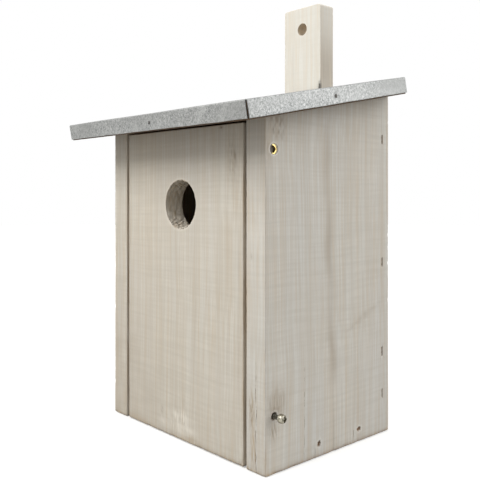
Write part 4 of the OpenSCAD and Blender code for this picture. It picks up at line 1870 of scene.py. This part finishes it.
@dataclass
class Fasteners:
    """Every screw, nail and staple of the box."""

    carcass: Carcass
    roof: Roof
    batten_screw_z: tuple[float, float]
    wall_x: float
    batten_back: float
    pivot_length: float = 32.0 * MM

    def build(self, nodes: dict[str, Piece]) -> list[Piece]:
        """Builds the screws and nails, and dresses the staples that the model already has.

        Args:
            nodes: The model's own nodes.

        Returns:
            The new pieces.
        """
        made = [fastener.build() for fastener in self.screws() + self.nails()]
        finish = STAPLE.material("staple_finish", False)
        for label in ("back_staples_left", "back_staples_right"):
            for slot in nodes[label].material_slots:
                slot.material = finish
            LOG.info("%s: dressed", label)
        return made

    def screws(self) -> list[Screw]:
        """The two pivot screws, the lock screw and the two batten screws."""
        carcass = self.carcass
        screws = []
        for side, label in ((1.0, "right"), (-1.0, "left")):
            place = np.array([side * (self.wall_x - PIVOT_SINK), carcass.pivot_y, carcass.pivot_z])
            screws.append(Screw(
                f"pivot_screw_{label}", Body.FRONT, Slot.YELLOW, YELLOW_ZINC, place,
                np.array([side, 0.0, 0.0]), Head.COUNTERSUNK, 3.0 * MM, 1.5 * MM, self.pivot_length,
                core=0.60, front_darkening=1.0,
            ))
        # The lock screw's shank shows in its hole, darkened as painted shade with dirt.
        place = np.array([self.wall_x + LOCK_PROUD, carcass.pivot_y, carcass.lock_z])
        screws.append(Screw(
            "lock_screw", Body.BOX, Slot.BRIGHT, BRIGHT_ZINC, place, np.array([1.0, 0.0, 0.0]),
            Head.ROUND, 2.6 * MM, 1.5 * MM, 20.0 * MM, 3.6 * MM, 1.3 * MM, 0.15, grime=0.30,
        ))
        for label, z in zip(("lower", "upper"), self.batten_screw_z):
            place = np.array([0.0, self.batten_back - BATTEN_SCREW_SINK, z])
            screws.append(Screw(
                f"batten_screw_{label}", Body.BOX, Slot.YELLOW, YELLOW_ZINC, place, np.array([0.0, 1.0, 0.0]),
                Head.COUNTERSUNK, 4.0 * MM, 2.0 * MM, 25.0 * MM, pitch=1.8 * MM,
            ))
        return screws

    def nails(self) -> list[Nails]:
        """The floor nails of both walls and the three nails of the cap."""
        carcass, roof = self.carcass, self.roof
        cap_sizes = (1.2 * MM, 0.9 * MM, 15.5 * MM, 0.35 * MM)
        nails = []
        for side, label in ((1.0, "right"), (-1.0, "left")):
            way = np.array([side, 0.0, 0.0])
            x = side * (self.wall_x - NAIL_SET - FLOOR_NAIL_DOME)
            places = [np.array([x, y, carcass.nail_z]) for y in carcass.nail_y]
            sizes = (1.3 * MM, 0.8 * MM, 33.0 * MM, FLOOR_NAIL_DOME)
            nails.append(Nails(f"floor_nails_{label}", RUST, places, way, *sizes, 31 + int(side)))
            place = np.array([side * (roof.half_width - roof.nail_sunk), roof.side_nail_s, roof.nail_n])
            places = [roof.turn.place(place)]
            nails.append(Nails(f"cap_nail_{label}", NAIL_PAINTED_SHADE, places, way, *cap_sizes, 41 + int(side)))
        place = np.array([roof.nail_x, roof.front + roof.nail_sunk, roof.nail_n])
        way = roof.turn.way(np.array([0.0, -1.0, 0.0]))
        nails.append(Nails("cap_nail_front", NAIL_PAINTED_LIGHT, [roof.turn.place(place)], way, *cap_sizes, 45))
        return nails


# The studio

@dataclass(frozen=True)
class Lamp:
    """A square soft lamp that looks at a point."""

    name: str
    place: Place
    aim: Place
    size: float
    watts: float
    colour: Place

    def build(self) -> None:
        """Hangs the lamp."""
        data = bpy.data.lights.new(self.name, "AREA")
        data.size = self.size
        data.energy = self.watts
        data.color = self.colour
        lamp = bpy.data.objects.new(self.name, data)
        lamp.location = self.place
        lamp.rotation_euler = (Vector(self.aim) - Vector(self.place)).to_track_quat("-Z", "Y").to_euler()
        bpy.context.scene.collection.objects.link(lamp)


LAMPS = (
    Lamp("key", (-0.22, -0.72, 0.83), (0.0, 0.0, 0.10), 0.55, 7.7, (1.0, 0.99, 0.965)),
    Lamp("side", (1.45, 1.50, 0.75), (0.05, 0.0, 0.12), 1.2, 12.2, (0.98, 0.99, 1.0)),
    Lamp("over", (0.90, 0.50, 1.65), (0.05, 0.0, 0.12), 1.8, 15.0, (0.98, 0.99, 1.0)),
)


@dataclass
class Studio:
    """Pale floor, white surround, soft lamps and the photo's camera."""

    ambient: float = 0.62
    floor_r: float = 3.0
    floor_drop: float = 0.3 * MM
    floor_rows: int = 24
    floor_columns: int = 64
    floor_lit: Colour = (0.33, 0.33, 0.32, 1.0)
    floor_seen: Colour = (0.80, 0.80, 0.80, 1.0)
    air: Colour = (1.0, 0.99, 0.97, 1.0)
    white: Colour = (1.0, 1.0, 1.0, 1.0)

    def build(self) -> None:
        """Builds the floor, the surround, the lamps and the camera."""
        self.build_floor()
        self.build_surround()
        for lamp in LAMPS:
            lamp.build()
        self.build_camera()
        bpy.context.scene.view_settings.view_transform = "Standard"
        LOG.info("studio: floor, surround, lamps and camera")

    def build_floor(self) -> None:
        """Builds a disc from a grid of radius and angle, pale and lightly self-lit to the camera."""
        radii = self.floor_r * np.linspace(0.0, 1.0, self.floor_rows) ** 2
        heights = np.full(self.floor_rows, -self.floor_drop)
        shell = Shell()
        shell.add(turned(np.repeat(radii[:, None], self.floor_columns, axis=1), heights), wrap=True)
        floor = shell.weld().to_object("studio_floor", {}, FLOOR_CREASE)
        graph = FinishGraph("studio_floor_finish")
        seen = graph.seen()
        graph.coat(graph.blend(seen, self.floor_lit, self.floor_seen), 0.9, 0.0)
        graph.put(graph.shader.inputs["Specular IOR Level"], 0.0)
        apart = graph.node("VectorMath", {0: graph.place}, operation="LENGTH").outputs["Value"]
        strength = graph.times(seen, graph.spread(apart, 0.15, 1.0, 0.30, 0.75))
        glow = graph.node("Emission", {"Color": self.white, "Strength": strength}).outputs[0]
        both = graph.node("AddShader", {0: graph.shader.outputs[0], 1: glow}).outputs[0]
        graph.put(graph.tree.nodes["Material Output"].inputs["Surface"], both)
        floor.data.materials.append(graph.material)
        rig.stage(floor)

    def build_surround(self) -> None:
        """Builds the world: plain ambient light, and pure white where it is seen."""
        world = bpy.data.worlds.new("studio_surround")
        graph = Graph(world)
        graph.tree.nodes.clear()
        light = graph.node("Background", {"Color": self.air, "Strength": self.ambient}).outputs[0]
        white = graph.node("Background", {"Color": self.white}).outputs[0]
        both = graph.node("MixShader", {0: graph.seen(), 1: light, 2: white}).outputs[0]
        graph.node("OutputWorld", {"Surface": both})
        bpy.context.scene.world = world

    def build_camera(self) -> None:
        """Sets up a level camera whose shift puts the horizon where the photo has it."""
        data = bpy.data.cameras.new("photo_camera")
        data.sensor_width = SENSOR_MM
        data.lens = SENSOR_MM * FOCAL_PIXELS / IMAGE_SIZE
        data.shift_y = (HORIZON_PIXEL - IMAGE_SIZE / 2) / IMAGE_SIZE
        data.clip_start = 0.01
        camera = bpy.data.objects.new("photo_camera", data)
        camera.location = CAMERA_PLACE
        camera.rotation_euler = (QUARTER_TURN, 0.0, CAMERA_TURN)
        bpy.context.scene.collection.objects.link(camera)
        bpy.context.scene.camera = camera


def box_lists(corners: tuple[Vector, Vector]) -> list[list[float]]:
    """Two corners as plain lists."""
    return [[float(value) for value in corner] for corner in corners]


def main() -> None:
    """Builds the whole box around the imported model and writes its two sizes."""
    logging.basicConfig(level=logging.INFO, format="%(name)s %(message)s")
    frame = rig.load()
    cad_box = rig.bounds()
    record = frame["record"]
    pivot = frame["joints"][0]["pos_m"]
    hanging = next(mount for mount in record["mounts"] if mount["name"] == "hanging_hole")
    entrance = next(room for room in record["physics"]["openings"] if room["name"] == "entrance_hole")
    entrance_z = 0.5 * (entrance["box_m"][0][2] + entrance["box_m"][1][2])
    wall_low, wall_high = node_corners("right_wall")
    batten_low, batten_high = node_corners("hanging_batten")
    screw_z = tuple(batten_low[2] + rise for rise in BATTEN_SCREW_RISES)

    slope = SlopedTop(wall_low[1], FRONT_HEIGHT, ROOF_PITCH)
    carcass = Carcass(slope, pivot[1], pivot[2])
    roof = Roof(RoofTurn((0.0, wall_low[1], FRONT_HEIGHT + ROOF_GAP), ROOF_PITCH))
    batten = HangingBatten(hanging["pos_m"][2], hanging["dims"]["r_mm"] * MM, screw_z)
    fasteners = Fasteners(carcass, roof, screw_z, wall_high[0], batten_high[1])

    pieces = carcass.build()
    pieces.append(SwingingFront(entrance_z).build())
    pieces.append(batten.build())
    pieces += roof.build()
    pieces += fasteners.build(frame["nodes"])
    LOG.info("%d pieces", len(pieces))
    Studio().build()

    bpy.context.view_layer.update()
    with open(SIZE_FILE, "w") as size_file:
        json.dump({"cad": box_lists(cad_box), "visual": box_lists(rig.bounds())}, size_file)


if __name__ == "__main__":
    main()
